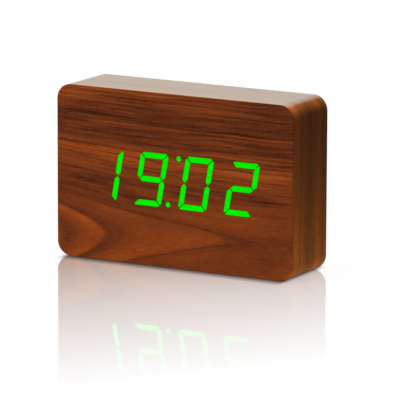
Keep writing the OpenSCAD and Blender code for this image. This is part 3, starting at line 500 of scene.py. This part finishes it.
# display: film, clear fillings, lamps and white block behind the front sheet; pairs of colours go from dark to pale
display = {"film": ((222, 224, 220), (240, 241, 238)), "mist": 0.3, "pool": 22,
           "filling": ((196, 226, 206), (214, 236, 220)), "swirl": 1.8, "scratch": 0.3,
           "lampBody": ((212, 208, 198), (232, 230, 222)), "lampLens": ((140, 190, 92), (168, 214, 120)),
           "lampGrain": 0.25, "lensDepth": 0.08, "block": (236, 236, 230), "rubbedBlock": (246, 246, 242)}


def diffuserFilm():
    material, spot, *_ = newFinish("diffuserFilm", under=0.3, underScale=0.0004)
    mist = noise(spot, display["mist"], detail=3, rough=0.7)
    pool = noise(spot, display["pool"])
    return cover(material, mixColour(mist * 0.5 + pool * 0.5, *display["film"]), 0.4 + mist * 0.25,
                 bump(mist, 0.01, 0.6))


def clearFilling():
    material, spot, *_ = newFinish("clearFilling", clear=0.85)
    fine = noise(spot, display["scratch"])
    return cover(material, mixColour(noise(spot, display["swirl"], detail=3), *display["filling"]),
                 0.1 + fine * 0.2, bump(fine, 0.008, 0.5))


def lampPackage():
    # a white body whose front face is the greenish lens
    material, spot, _, y, _ = newFinish("lampPackage", coat=0.3)
    fine = noise(spot, display["lampGrain"])
    lens = within(y, boxOf("display_leds")[0][1] + display["lensDepth"], 0.02)
    return cover(material, twoTone(lens, fine, display["lampBody"], display["lampLens"]),
                 0.42 + fine * 0.2 - lens * 0.25, bump(fine, 0.01, 0.5))


# circuit boards: green lacquer over copper tracks, tinned holes on a grid with painted shade in each hole, raw
# laminate at the edges
circuit = {"bare": (16, 62, 38), "track": (30, 100, 58), "deep": (10, 44, 28), "tin": (192, 192, 184),
           "holeShade": (22, 22, 20), "edge": ((116, 112, 66), (150, 148, 98)), "weave": (0.4, 0.2, 0.4), "cloud": 7,
           # lanes for tracks: pitch, length of a stretch, stagger from lane to lane, half width as a share of pitch
           "lane": 1.27, "stretch": 8, "stagger": 0.37, "trackHalf": 0.165, "trackless": 0.42, "region": 16,
           # holes: pitch, share of places without one, radius of the tinned ring and of the hole, whose middle is
           # painted shade
           "holeGrid": 5.08, "holeless": 0.66, "ring": 0.66, "hole": 0.29}


def solderLacquer(name, shift):
    # shift: moves the lanes, so that the two boards differ
    material, spot, x, _, z = newFinish(name, coat=0.25, coatRoughness=0.15)

    def chance(a, b, least):  # 1 or 0 for each pair of whole numbers, by their own random number
        luck = a.add("TexWhiteNoise", {"noise_dimensions": "2D"}, {"Vector": joinXyz(a, b, 0)})
        return luck.do("GREATER_THAN", least)

    def tracks(along, over):  # each stretch of a lane holds a track or none
        lane = over / circuit["lane"] + shift
        step = lane.do("FLOOR")
        stretch = (along / circuit["stretch"] + step * circuit["stagger"]).do("FLOOR")
        off = abs(lane - step - 0.5)
        return within(off, circuit["trackHalf"], 0.025) * chance(step, stretch, circuit["trackless"])

    level = noise(joinXyz(x / circuit["region"], 0, z / circuit["region"]), detail=0)
    region = past(level, 0.5, 0.01)  # where the tracks run along x
    copper = tracks(x, z) * region + tracks(z, x) * (1 - region)
    cellX, cellZ = x / circuit["holeGrid"], z / circuit["holeGrid"]
    stepX, stepZ = cellX.do("FLOOR"), cellZ.do("FLOOR")
    far = span(cellX - stepX - 0.5, cellZ - stepZ - 0.5) * circuit["holeGrid"]
    chosen = chance(stepX, stepZ, circuit["holeless"])
    ring = within(far, circuit["ring"], 0.04) * chosen
    hole = within(far, circuit["hole"], 0.03) * chosen
    face = past(abs(facing(x)[1]), 0.5, 0.1)
    weave = noise(drawnOut(spot, circuit["weave"]))
    cloud = noise(spot, circuit["cloud"])
    # painted shade: each hole's middle is a dark disc
    lacquer = layered(mixColour(copper, circuit["bare"], circuit["track"]), (cloud * 0.3, circuit["deep"]),
                      (ring, circuit["tin"]), (hole, circuit["holeShade"]))
    return cover(material, mixColour(face, mixColour(weave, *circuit["edge"]), lacquer),
                 0.34 + weave * 0.12 + (1 - face) * 0.35 - copper * 0.05,
                 bump((copper * 0.7 + ring - hole * 2) * face + weave * 0.2, 0.04),
                 ring * (1 - hole) * face * 0.9)


# chips: matt moulded packages with a dimple that marks the first leg
chips = {"package": ((28, 28, 30), (38, 38, 40)), "glint": (86, 86, 88), "pit": (24, 24, 26), "grain": 0.16,
         "glintGrain": 0.12, "dimple": 0.55, "dimpleRim": 0.12,
         # from the first chip's low x and high z to its dimple, and along x to the dimples of the others
         "driverInset": (1.5, 1.85), "driverSteps": (0, 48), "controllerInset": (1.5, 1.55)}


def chipPackage(name, node, inset, steps=(0,)):
    material, spot, x, _, z = newFinish(name, specular=0.35)
    low, high = boxOf(node)
    fine = noise(spot, chips["grain"], detail=3, rough=0.7)
    glint = smooth(noise(spot, chips["glintGrain"], detail=0), 0.68, 0.78)
    dimple = 0
    for step in steps:
        far = span(x - (low[0] + inset[0] + step), z - (high[2] - inset[1]))
        dimple = dimple + (1 - smooth(far, chips["dimple"] - chips["dimpleRim"], chips["dimple"]))
    package = layered(mixColour(fine, *chips["package"]), (glint * 0.3, chips["glint"]),
                      (dimple * 0.6, chips["pit"]))
    return cover(material, package, 0.58 + fine * 0.2 - dimple * 0.3, bump(fine * 0.3 - dimple, 0.05, 0.8))


# capacitors: dark blue sleeves with one pale dashed stripe, and bare scored tops whose score lines are painted
# darker as shade
capacitor = {"sleeve": ((22, 28, 72), (30, 38, 92)), "stripe": (150, 158, 172), "ink": (34, 40, 84),
             "top": ((186, 188, 190), plating["can"]), "shadedScore": (92, 92, 94), "radius": 2.5, "topRadius": 2.05,
             "topDepth": 0.07, "scoreHalf": 0.09, "stripeZ": -1.7, "dash": 1.6, "dashHalf": 0.385, "grain": 0.3,
             "cloud": 2}


def capacitorSleeve():
    material, spot, x, y, z = newFinish("capacitorSleeve")
    low, high = boxOf("capacitors")
    middle = middleOf("capacitors")
    offX = abs(x - middle[0]) - ((high[0] - low[0]) / 2 - capacitor["radius"])
    offZ = z - middle[2]
    across = abs(offX)
    fine, cloud = noise(spot, capacitor["grain"]), noise(spot, capacitor["cloud"])
    top = within(y, low[1] + capacitor["topDepth"], 0.03) * within(span(offX, offZ), capacitor["topRadius"])
    shadedScore = within(across.do("MINIMUM", abs(offZ)), capacitor["scoreHalf"], 0.03)
    stripe = within(offZ, capacitor["stripeZ"]) * (1 - top)
    dash = past((y / capacitor["dash"]).do("FRACT"), 0.525, 0.025)
    mark = stripe * within(across, capacitor["dashHalf"], 0.035) * dash
    sleeve = layered(mixColour(cloud, *capacitor["sleeve"]), (stripe, capacitor["stripe"]),
                     (mark, capacitor["ink"]))
    # painted shade: the score lines on the top are darker
    metal = mixColour(shadedScore, mixColour(fine, *capacitor["top"]), capacitor["shadedScore"])
    return cover(material, mixColour(top, sleeve, metal), 0.34 + fine * 0.14,
                 bump(fine * 0.2 - shadedScore * top, 0.04), top * 0.95)


# chip resistors: black glaze between tinned ends
resistor = {"glaze": ((22, 22, 24), (44, 44, 46)), "ends": ((164, 166, 168), plating["tin"]), "length": 2,
            "pitch": 4, "glazeHalf": 0.62, "grain": 0.14}


def chipResistor():
    material, spot, x, _, _ = newFinish("chipResistor")
    first = boxOf("chip_resistors")[0][0] + resistor["length"] / 2
    end = past(nearest(x, first, resistor["pitch"]), resistor["glazeHalf"], 0.03)
    fine = noise(spot, resistor["grain"])
    return cover(material, twoTone(end, fine, resistor["glaze"], resistor["ends"]), 0.3 + fine * 0.2,
                 bump(fine * 0.3 + end, 0.015), end * 0.95)


# microphone: bright can with a black felt disc over its face
microphone = {"can": ((178, 180, 182), plating["can"]), "felt": ((12, 12, 12), (46, 46, 46)), "feltRadius": 2.25,
              "feltDepth": 0.06, "hair": 0.12, "cloud": 1.2}


def microphoneCan():
    material, spot, x, y, z = newFinish("microphoneCan", specular=0.4)
    atX, _, atZ = middleOf("microphone")
    face = past(y, boxOf("microphone")[1][1] - microphone["feltDepth"], 0.01)
    felt = within(span(x - atX, z - atZ), microphone["feltRadius"]) * face
    hair = noise(spot, microphone["hair"], detail=3, rough=0.7)
    cloud = noise(spot, microphone["cloud"])
    metal, cloth = mixColour(cloud, *microphone["can"]), mixColour(hair, *microphone["felt"])
    return cover(material, mixColour(felt, metal, cloth), 0.24 + cloud * 0.14 + felt * 0.55,
                 bump(hair * felt + cloud * 0.05, 0.05), 0.95 - felt * 0.95)


# microphone boot: soft rubber with some dust on it
boot = {"rubber": ((22, 22, 23), (40, 40, 41)), "dust": (96, 94, 90), "grain": 0.3, "dustPatch": 1.6}


def rubberBoot():
    material, spot, *_ = newFinish("rubberBoot", specular=0.25, sheen=0.2)
    fine = noise(spot, boot["grain"], detail=3, rough=0.7)
    dust = smooth(noise(spot, boot["dustPatch"], detail=3), 0.5, 0.75)
    return cover(material, mixColour(dust * 0.25, mixColour(fine, *boot["rubber"]), boot["dust"]),
                 0.72 + fine * 0.18 + dust * 0.06, bump(fine, 0.02))


# socket tongue: black, with a row of gilt contacts on both of its flat sides
tongue = {"plastic": ((20, 20, 22), (40, 40, 42)), "gilt": ((186, 146, 66), (214, 176, 92)), "contactPitch": 0.65,
          "contactHalf": 0.15, "grain": 0.15}


def socketTongue():
    material, spot, x, _, _ = newFinish("socketTongue", specular=0.45)
    off = nearest(x, middleOf("socket_tongue")[0], tongue["contactPitch"])
    strip = within(off, tongue["contactHalf"], 0.02) * past(abs(facing(x)[2]), 0.55)
    fine = noise(spot, tongue["grain"])
    return cover(material, twoTone(strip, fine, tongue["plastic"], tongue["gilt"]),
                 0.5 + fine * 0.15 - strip * 0.22, bump(strip + fine * 0.2, 0.03), strip * 0.95)


# switches: black bases, each under a bright plate that four rivets hold
switches = {"base": ((24, 24, 26), (48, 48, 50)), "plate": ((176, 176, 176), plating["nickel"]), "pitch": 13,
            "plateDepth": 0.28, "rivetOff": 2.25, "rivetRadius": 0.46, "grain": 0.2}


def switchCase():
    material, spot, x, y, z = newFinish("switchCase", specular=0.45)
    atX, _, atZ = middleOf("switch_bodies")
    offs = (nearest(x, atX, switches["pitch"]), abs(z - atZ))
    rivet = within(span(*(off - switches["rivetOff"] for off in offs)), switches["rivetRadius"], 0.04)
    metal = past(y, boxOf("switch_bodies")[1][1] - switches["plateDepth"], 0.02) * (1 - rivet)
    fine = noise(spot, switches["grain"])
    return cover(material, twoTone(metal, fine, switches["base"], switches["plate"]),
                 0.5 + fine * 0.15 - metal * 0.2, bump(rivet + fine * 0.15, 0.05), metal * 0.95)


# battery cells: one plain sleeve colour with a pale ring, plus and minus marks, and bare ends
cells = {"sleeve": ((170, 124, 48), (196, 150, 66)), "ring": (236, 226, 200), "ink": (70, 52, 26),
         "scuff": (226, 206, 160), "metal": ((170, 170, 168), (202, 202, 200)),
         "count": 4, "pitch": 10.8, "radius": 5.25, "length": 44.5, "endRadius": 4.6,
         # distances from the tip of the nub, and half the length and width of a mark's bar
         "nubEnd": 1.525, "flatEnd": 44.425, "ringSpan": (5, 7), "plusAt": 11, "minusAt": 40,
         "bar": (1.5, 0.32), "brushed": (2, 0.2, 0.2), "scuffs": (6, 0.35, 0.35), "cloud": 8}


def cellRow(index):  # height of a cell's middle line
    return boxOf("battery_cells")[0][2] + cells["radius"] + index * cells["pitch"]


def cellSleeve():
    material, spot, x, y, z = newFinish("cellSleeve", coat=0.2, coatRoughness=0.2)
    low, high = boxOf("battery_cells")
    row = (z - cellRow(0)) / cells["pitch"] + 0.5
    step = row.do("FLOOR")
    odd = step.do("MODULO", 2)
    offZ = (row - step - 0.5) * cells["pitch"]
    offY = y - middleOf("battery_cells")[1]
    # distance from the nub: every second cell lies the other way round
    down = (high[0] - x) * (1 - odd) + (x - low[0]) * odd
    ends = within(down, cells["nubEnd"], 0.025).do("MAXIMUM", past(down, cells["flatEnd"], 0.025))
    metal = ends * within(span(offZ, offY), cells["endRadius"])
    ring = past(down, cells["ringSpan"][0]) * within(down, cells["ringSpan"][1])

    def bar(*offs):  # along its length and over its width
        along, over = (within(abs(off), half) for off, half in zip(offs, cells["bar"]))
        return along * over

    plus, minus = down - cells["plusAt"], down - cells["minusAt"]
    mark = bar(offZ, plus).do("MAXIMUM", bar(plus, offZ)).do("MAXIMUM", bar(offZ, minus))
    mark = mark * smooth(offY, 0, 0.5)  # only on the side that the door shows
    fine = noise(drawnOut(spot, cells["brushed"]))
    cloud = noise(spot, cells["cloud"], detail=3)
    scuff = smooth(noise(drawnOut(spot, cells["scuffs"])), 0.62, 0.72)
    sleeve = layered(mixColour(cloud, *cells["sleeve"]), (ring, cells["ring"]), (mark, cells["ink"]),
                     (scuff * 0.25, cells["scuff"]))
    return cover(material, mixColour(metal, sleeve, mixColour(cloud, *cells["metal"])),
                 0.3 + fine * 0.12 + scuff * 0.12, bump(fine * 0.2 - metal * 0.6, 0.03, 0.6), metal * 0.75 + 0.2)


print("display, board and battery finishes ready")

screwTop = boxOf("rear_cover_screws")[1][1]
finishes = {
    "front_veneer": walnutFront(),
    "band_veneer": walnutBand("walnutBand", "y", True),
    "rear_edge_veneer": walnutBand("walnutRearEdge", "z", False),
    "case_dowels": beech("beechDowel", "x"),
    "corner_blocks": beech("beechBlock", "y"),
    "display_film": diffuserFilm(),
    "display_reflector": moulded("whiteBlock", display["block"], display["rubbedBlock"]),
    "light_guides": clearFilling(),
    "display_leds": lampPackage(),
    "display_board": solderLacquer("displayLacquer", 3.3),
    "main_board": solderLacquer("mainLacquer", 7.7),
    "driver_chips": chipPackage("driverPackage", "driver_chips", chips["driverInset"], chips["driverSteps"]),
    "controller_chip": chipPackage("controllerPackage", "controller_chip", chips["controllerInset"]),
    "display_spacers": moulded("ivorySpacer", (222, 214, 192), (238, 232, 214), roughness=0.45),
    "battery_header": moulded("ivoryHeader", (220, 212, 188), (238, 232, 214), roughness=0.45),
    "ribbon_headers": moulded("headerBlack", (34, 34, 36), (78, 78, 80), texture=0.25),
    "buzzer": moulded("buzzerBlack", (30, 30, 32), (80, 80, 82), roughness=0.42, texture=0.35),
    "rear_cover": moulded("coverBlack", (32, 32, 34), (74, 74, 76), roughness=0.52, texture=0.42, depth=0.03),
    "battery_door": moulded("doorBlack", (34, 34, 36), (78, 78, 80), texture=0.42, depth=0.03),
    "display_screws": plated("displayScrewZinc", "zinc", 0.32),
    "main_board_screws": plated("boardScrewZinc", "zinc", 0.32),
    "rear_cover_screws": plated("coverScrewZinc", "zinc", 0.34, low=(screwTop - 0.25, screwTop - 0.75)),
    "battery_contacts": plated("contactNickel", "nickel", 0.26, along=(1, 1, 9)),
    "clock_crystal": plated("crystalCan", "can", 0.22, along=(1, 1, 5)),
    "power_socket": plated("socketTin", "tin", 0.28, along=(9, 1, 1)),
    "capacitors": capacitorSleeve(),
    "chip_resistors": chipResistor(),
    "microphone": microphoneCan(),
    "microphone_boot": rubberBoot(),
    "socket_tongue": socketTongue(),
    "switch_bodies": switchCase(),
    "battery_cells": cellSleeve(),
}
for key in ("set", "up", "down"):
    button = key + "_button"
    finishes[button] = moulded(key + "ButtonBlack", (42, 42, 45), (92, 92, 95), roughness=0.42, polish=button)
    finishes[key + "_plunger"] = finishes["ribbon_headers"]
boards = ("case_top", "case_bottom", "case_left", "case_right", "front_board")
finishes.update(dict.fromkeys(boards, fibreboard()))
finishes.update(dict.fromkeys(("lit_segments", "colon_dots"), litVeneer()))
for name, material in finishes.items():
    slots = nodes[name].data.materials
    slots.clear()
    slots.append(material)
print("finishes on", len(finishes), "nodes")


def alongLine(line):  # unit tangents of a row of points
    tangent = np.gradient(line, axis=0)
    return tangent / np.linalg.norm(tangent, axis=1, keepdims=True)


def tube(centre, normal, radius, sides):
    # tube: centre + radius (cos a normal + sin a tangent x normal), a going once round
    tangent = alongLine(centre)
    normal = normal - (normal * tangent).sum(1, keepdims=True) * tangent
    normal /= np.linalg.norm(normal, axis=1, keepdims=True)
    across = np.cross(tangent, normal)
    a = np.linspace(0, 2 * np.pi, sides, endpoint=False)[None, :, None]
    return centre[:, None] + radius * (np.cos(a) * normal[:, None] + np.sin(a) * across[:, None])


def skin(rows, sides, first):  # four-cornered faces from ring to ring, and a flat cap on each end
    i, j = np.meshgrid(np.arange(rows - 1), np.arange(sides), indexing="ij")
    k = (j + 1) % sides
    corners = [i * sides + j, i * sides + k, (i + 1) * sides + k, (i + 1) * sides + j]
    last = first + (rows - 1) * sides
    caps = [list(range(first + sides - 1, first - 1, -1)), list(range(last, last + sides))]
    return (np.stack(corners, -1).reshape(-1, 4) + first).tolist() + caps


def newPiece(name, sleeves, material, replaced):
    # sleeves: grids of points in mm, ring after ring, each closed into one solid
    faces, first = [], 0
    for rows, sides, _ in (sleeve.shape for sleeve in sleeves):
        faces += skin(rows, sides, first)
        first += rows * sides
    points = np.concatenate([sleeve.reshape(-1, 3) for sleeve in sleeves])
    data = bpy.data.meshes.new(name)
    data.from_pydata((points * mm).tolist(), [], faces)
    data.polygons.foreach_set("use_smooth", [len(face) == 4 for face in faces])
    data.materials.append(material)
    data.update()
    piece = bpy.data.objects.new(name, data)
    scene.collection.objects.link(piece)
    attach(piece, "case")
    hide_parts(replaced)


# contact springs: conical coils with a level curl at each end, between the cells and the contacts
springs = {"wire": 0.6, "baseRadius": 3.3, "tipRadius": 1.8, "turns": 3.6, "level": 0.5, "ease": 0.35,
           "stepsPerTurn": 28, "sides": 12, "roughness": 0.24}


def makeSprings():
    # coil: radius falls evenly from base to tip, while x climbs from half a wire at one end to half a wire short of
    # the other, partly by a smooth step
    low, high = boxOf("battery_cells")
    height = high[0] - low[0] - cells["length"]
    turn = np.linspace(0, springs["turns"], int(springs["turns"] * springs["stepsPerTurn"]))
    share = np.clip((turn - springs["level"]) / (springs["turns"] - 2 * springs["level"]), 0, 1)
    climb = share * share * (3 - 2 * share) * springs["ease"] + share * (1 - springs["ease"])
    half = springs["wire"] / 2
    x = half + climb * (height - springs["wire"])
    radius = springs["baseRadius"] + (springs["tipRadius"] - springs["baseRadius"]) * turn / springs["turns"]
    outward = np.stack([np.zeros_like(turn), np.cos(2 * np.pi * turn), np.sin(2 * np.pi * turn)], -1)
    coils = []
    for index in range(cells["count"]):
        way, foot = (1, low[0]) if index % 2 == 0 else (-1, high[0])
        centre = radius[:, None] * outward + np.array([0, middleOf("battery_cells")[1], cellRow(index)])
        centre[:, 0] = foot + way * x
        coils.append(tube(centre, outward, half, springs["sides"]))
    metal = plated("springNickel", "nickel", springs["roughness"])
    newPiece("springCoils", coils, metal, "battery_springs")


# battery leads: round insulated wire, held by its tab and its plug
leads = {"wire": 1.4, "reach": 11.4, "steps": 60, "sides": 20, "drawn": (1.6, 0.3, 0.3), "cloud": 3, "dark": 0.82,
         "red": (178, 26, 20), "black": (34, 34, 36)}


def wireCover(name, colour):
    material, spot, *_ = newFinish(name)
    fine = noise(drawnOut(spot, leads["drawn"]))
    share = noise(spot, leads["cloud"]) * 0.7 + fine * 0.3
    return cover(material, mixColour(share, tint(colour, leads["dark"]), colour), 0.32 + fine * 0.16,
                 bump(fine, 0.012, 0.6))


def makeLead(colour, replaced, rises):
    # lead: a cubic curve between straight ends, its two handles level along x
    half = leads["wire"] / 2
    (tabX, plugY, lowZ), (plugX, tabY, highZ) = boxOf(replaced)
    tabZ, plugZ = (lowZ + half, highZ - half) if rises else (highZ - half, lowZ + half)
    start, end = np.array([tabX, tabY - half, tabZ]), np.array([plugX, plugY + half, plugZ])
    straight, reach = np.array([leads["wire"], 0, 0]), np.array([leads["reach"], 0, 0])
    a, d = start + straight, end - straight
    b, c = a + reach, d - reach
    t = np.linspace(0, 1, leads["steps"])[:, None]
    curve = (1 - t) ** 3 * a + 3 * (1 - t) ** 2 * t * b + 3 * (1 - t) * t * t * c + t ** 3 * d
    line = np.concatenate([start[None], curve, end[None]])
    wire = tube(line, np.tile([0.0, 1.0, 0.0], (len(line), 1)), half, leads["sides"])
    name = colour + "Lead"
    newPiece(name, [wire], wireCover(name + "Cover", leads[colour]), replaced)


# ribbon cable: ten cores side by side, bent once at each plug
ribbon = {"thick": 0.9, "cores": 10, "web": 0.4, "bend": 4.1, "bendSteps": 16, "runSteps": 12, "coreSteps": 10,
          "colour": (168, 168, 170), "dark": 0.88, "firstCore": (164, 40, 34), "drawn": (0.3, 1.2, 1.2),
          "cloud": 4}


def ribbonCover():
    material, spot, x, *_ = newFinish("ribbonCover", specular=0.4)
    left, right = (corner[0] for corner in boxOf("ribbon_cable"))
    first = within(x, left + (right - left) / ribbon["cores"] - 0.05)
    fine = noise(drawnOut(spot, ribbon["drawn"]))
    share = noise(spot, ribbon["cloud"]) * 0.6 + fine * 0.4
    base = mixColour(share, tint(ribbon["colour"], ribbon["dark"]), ribbon["colour"])
    return cover(material, mixColour(first, base, ribbon["firstCore"]), 0.42 + fine * 0.16, bump(fine, 0.012, 0.6))


def makeRibbon():
    # section: half the thickness is the web's, raised over each core by the root of a sine's size, carried along
    # two quarter bends with a straight run between them
    half, bend = ribbon["thick"] / 2, ribbon["bend"]
    (left, frontY, lowZ), (right, rearY, topZ) = boxOf("ribbon_cable")
    turn = np.linspace(0, np.pi / 2, ribbon["bendSteps"])
    upper = np.stack([rearY - bend * np.sin(turn), topZ - half - bend + bend * np.cos(turn)], -1)
    lower = np.stack([frontY + bend * np.cos(turn), lowZ + half + bend - bend * np.sin(turn)], -1)
    run = upper[-1] + (lower[0] - upper[-1]) * np.linspace(0, 1, ribbon["runSteps"])[1:-1, None]
    line = np.concatenate([upper, run, lower])
    tangent = alongLine(line)
    outward = np.stack([-tangent[:, 1], tangent[:, 0]], -1)
    across = np.linspace(-0.5, 0.5, ribbon["cores"] * ribbon["coreSteps"] + 1)
    web = ribbon["web"] / 2
    ridge = web + (half - web) * np.sqrt(np.abs(np.sin(np.pi * across * ribbon["cores"])))
    lift = np.concatenate([ridge, -ridge[::-1]])
    points = np.empty((len(line), len(lift), 3))
    points[..., 0] = np.concatenate([across, across[::-1]]) * (right - left) + (left + right) / 2
    points[..., 1:] = line[:, None] + lift[None, :, None] * outward[:, None]
    newPiece("ribbonFlat", [points], ribbonCover(), "ribbon_cable")


makeSprings()
makeLead("red", "positive_lead", True)
makeLead("black", "negative_lead", False)
makeRibbon()
print("springs, leads and ribbon made")

# studio: white floor that mirrors the clock near it, three large soft lamps, and a small warm panel that lies on
# the floor beside the right-hand end and shines upwards
studio = {"floorSize": 8, "floorDrop": 0.0001, "sky": 0.1,
          # the mirror's share of red, green and blue, the way that it fades, and where that starts and ends in mm
          "mirror": (0.6, 0.68, 0.725), "mirrorTurn": 55, "mirrorStart": 40, "mirrorFar": 287,
          "mirrorEase": 0.14, "mirrorRough": 0.02, "mirrorDrop": 0.1, "dropEnd": 1.4,
          # the floor's tone under bounced light and where it is seen, and its own white
          "floorTone": 0.2, "floorSeen": 0.12, "floorWhite": 0.95,
          # the base's half length and half depth in mm, and how far its contact shade spreads
          "base": (67.8, 20), "shadeAlong": 2.3, "shadeWide": (-1, 11.5), "shadeLow": 0.1,
          # lamps: name, place, point aimed at and size in metres, watts, colour
          "lamps": [
              ("keyLamp", (-1, -1.85, 0.75), (0, 0, 0.05), (1, 1), 48, (1, 1, 1)),
              ("overheadLamp", (0, 0.1, 2), (0, 0, 0.05), (1.6, 1.6), 42, (1, 1, 1)),
              ("rearLamp", (-0.7, 1.7, 0.6), (0, 0, 0.05), (1, 1), 30, (1, 1, 1)),
              ("floorPanel", (0.103, 0.006, 0.0005), (0.103, 0.006, 1), (0.06, 0.09), 0.049, (1, 0.95, 0.45))]}


def seenFactor(start):  # 1 for rays straight from the camera, and 1 for all rays that show the background
    straight, glossy, through = (start.add("LightPath", out="Is " + kind + " Ray")
                                 for kind in ("Camera", "Glossy", "Transmission"))
    return straight, straight.do("MAXIMUM", glossy.do("MAXIMUM", through))


def floorPaint():
    material = bpy.data.materials.new("studioFloor")
    material.use_nodes = True
    tree = material.node_tree
    tree.nodes.remove(tree.nodes["Principled BSDF"])
    start = Wire(tree)
    straight, seen = seenFactor(start)
    _, x, y, _ = millimetres(start)
    turn, far, ease = math.radians(studio["mirrorTurn"]), studio["mirrorFar"], studio["mirrorEase"]
    away = x * math.sin(turn) - y * math.cos(turn) + studio["mirrorStart"]
    fade = (1 - smooth(away, 0, far, "LINEAR")) * straight
    fade = fade * (fade * ease + (1 - ease))
    shares = [fade * level for level in studio["mirror"]]
    drop = (1 - smooth(away, far, studio["dropEnd"] * far)) * studio["mirrorDrop"]
    # contact shade: by the distance from the base, which counts for more off its ends
    longHalf, deepHalf = studio["base"]
    beyondX = ((abs(x) - longHalf) * studio["shadeAlong"]).do("MAXIMUM", 0)
    beyondY = (abs(y) - deepHalf).do("MAXIMUM", 0)
    clear = smooth(span(beyondX, beyondY), *studio["shadeWide"])
    clear = clear * (1 - studio["shadeLow"]) + studio["shadeLow"]
    tone = seen * (studio["floorSeen"] - studio["floorTone"]) + studio["floorTone"]
    glow = clear * (studio["floorWhite"] - drop)

    def joinColour(levels):  # one level each for red, green and blue
        return start.add("CombineColor", None, dict(enumerate(levels)))

    matt = start.add("BsdfDiffuse", None, {"Color": joinColour((1 - share) * tone for share in shares)})
    white = start.add("Emission", None, {"Color": joinColour((1 - share) * glow for share in shares),
                                         "Strength": seen})
    gloss = start.add("BsdfGlossy", None, {"Color": joinColour(share * clear for share in shares),
                                           "Roughness": studio["mirrorRough"]})
    both = start.add("AddShader", None, {0: matt, 1: white})
    start.add("AddShader", None, {0: both, 1: gloss}).into(tree.nodes["Material Output"], "Surface")
    return material


def makeFloor():
    half = studio["floorSize"] / 2
    u, v = np.meshgrid([-half, half], [-half, half])  # flat grid of four corners
    points = np.stack([u, v, np.full_like(u, -studio["floorDrop"])], -1).reshape(-1, 3)
    data = bpy.data.meshes.new("floor")
    data.from_pydata(points.tolist(), [], [(0, 1, 3, 2)])
    data.materials.append(floorPaint())
    floor = bpy.data.objects.new("floor", data)
    scene.collection.objects.link(floor)


def makeWorld():
    world = bpy.data.worlds.new("studioWorld")
    scene.world = world
    world.use_nodes = True
    seen = seenFactor(Wire(world.node_tree))[1]
    back = world.node_tree.nodes["Background"]
    back.inputs["Color"].default_value = (1, 1, 1, 1)
    (seen * (1 - studio["sky"]) + studio["sky"]).into(back, "Strength")


def makeLamps():
    for name, at, to, size, power, colour in studio["lamps"]:
        data = bpy.data.lights.new(name, "AREA")
        data.shape = "RECTANGLE"
        data.size, data.size_y = size
        data.energy, data.color = power, colour
        lamp = bpy.data.objects.new(name, data)
        lamp.location = at
        lamp.rotation_mode = "QUATERNION"
        lamp.rotation_quaternion = (Vector(to) - Vector(at)).to_track_quat("-Z", "Y")
        lamp.visible_camera = lamp.visible_glossy = False
        scene.collection.objects.link(lamp)


makeFloor()
makeWorld()
makeLamps()
print("studio lit")
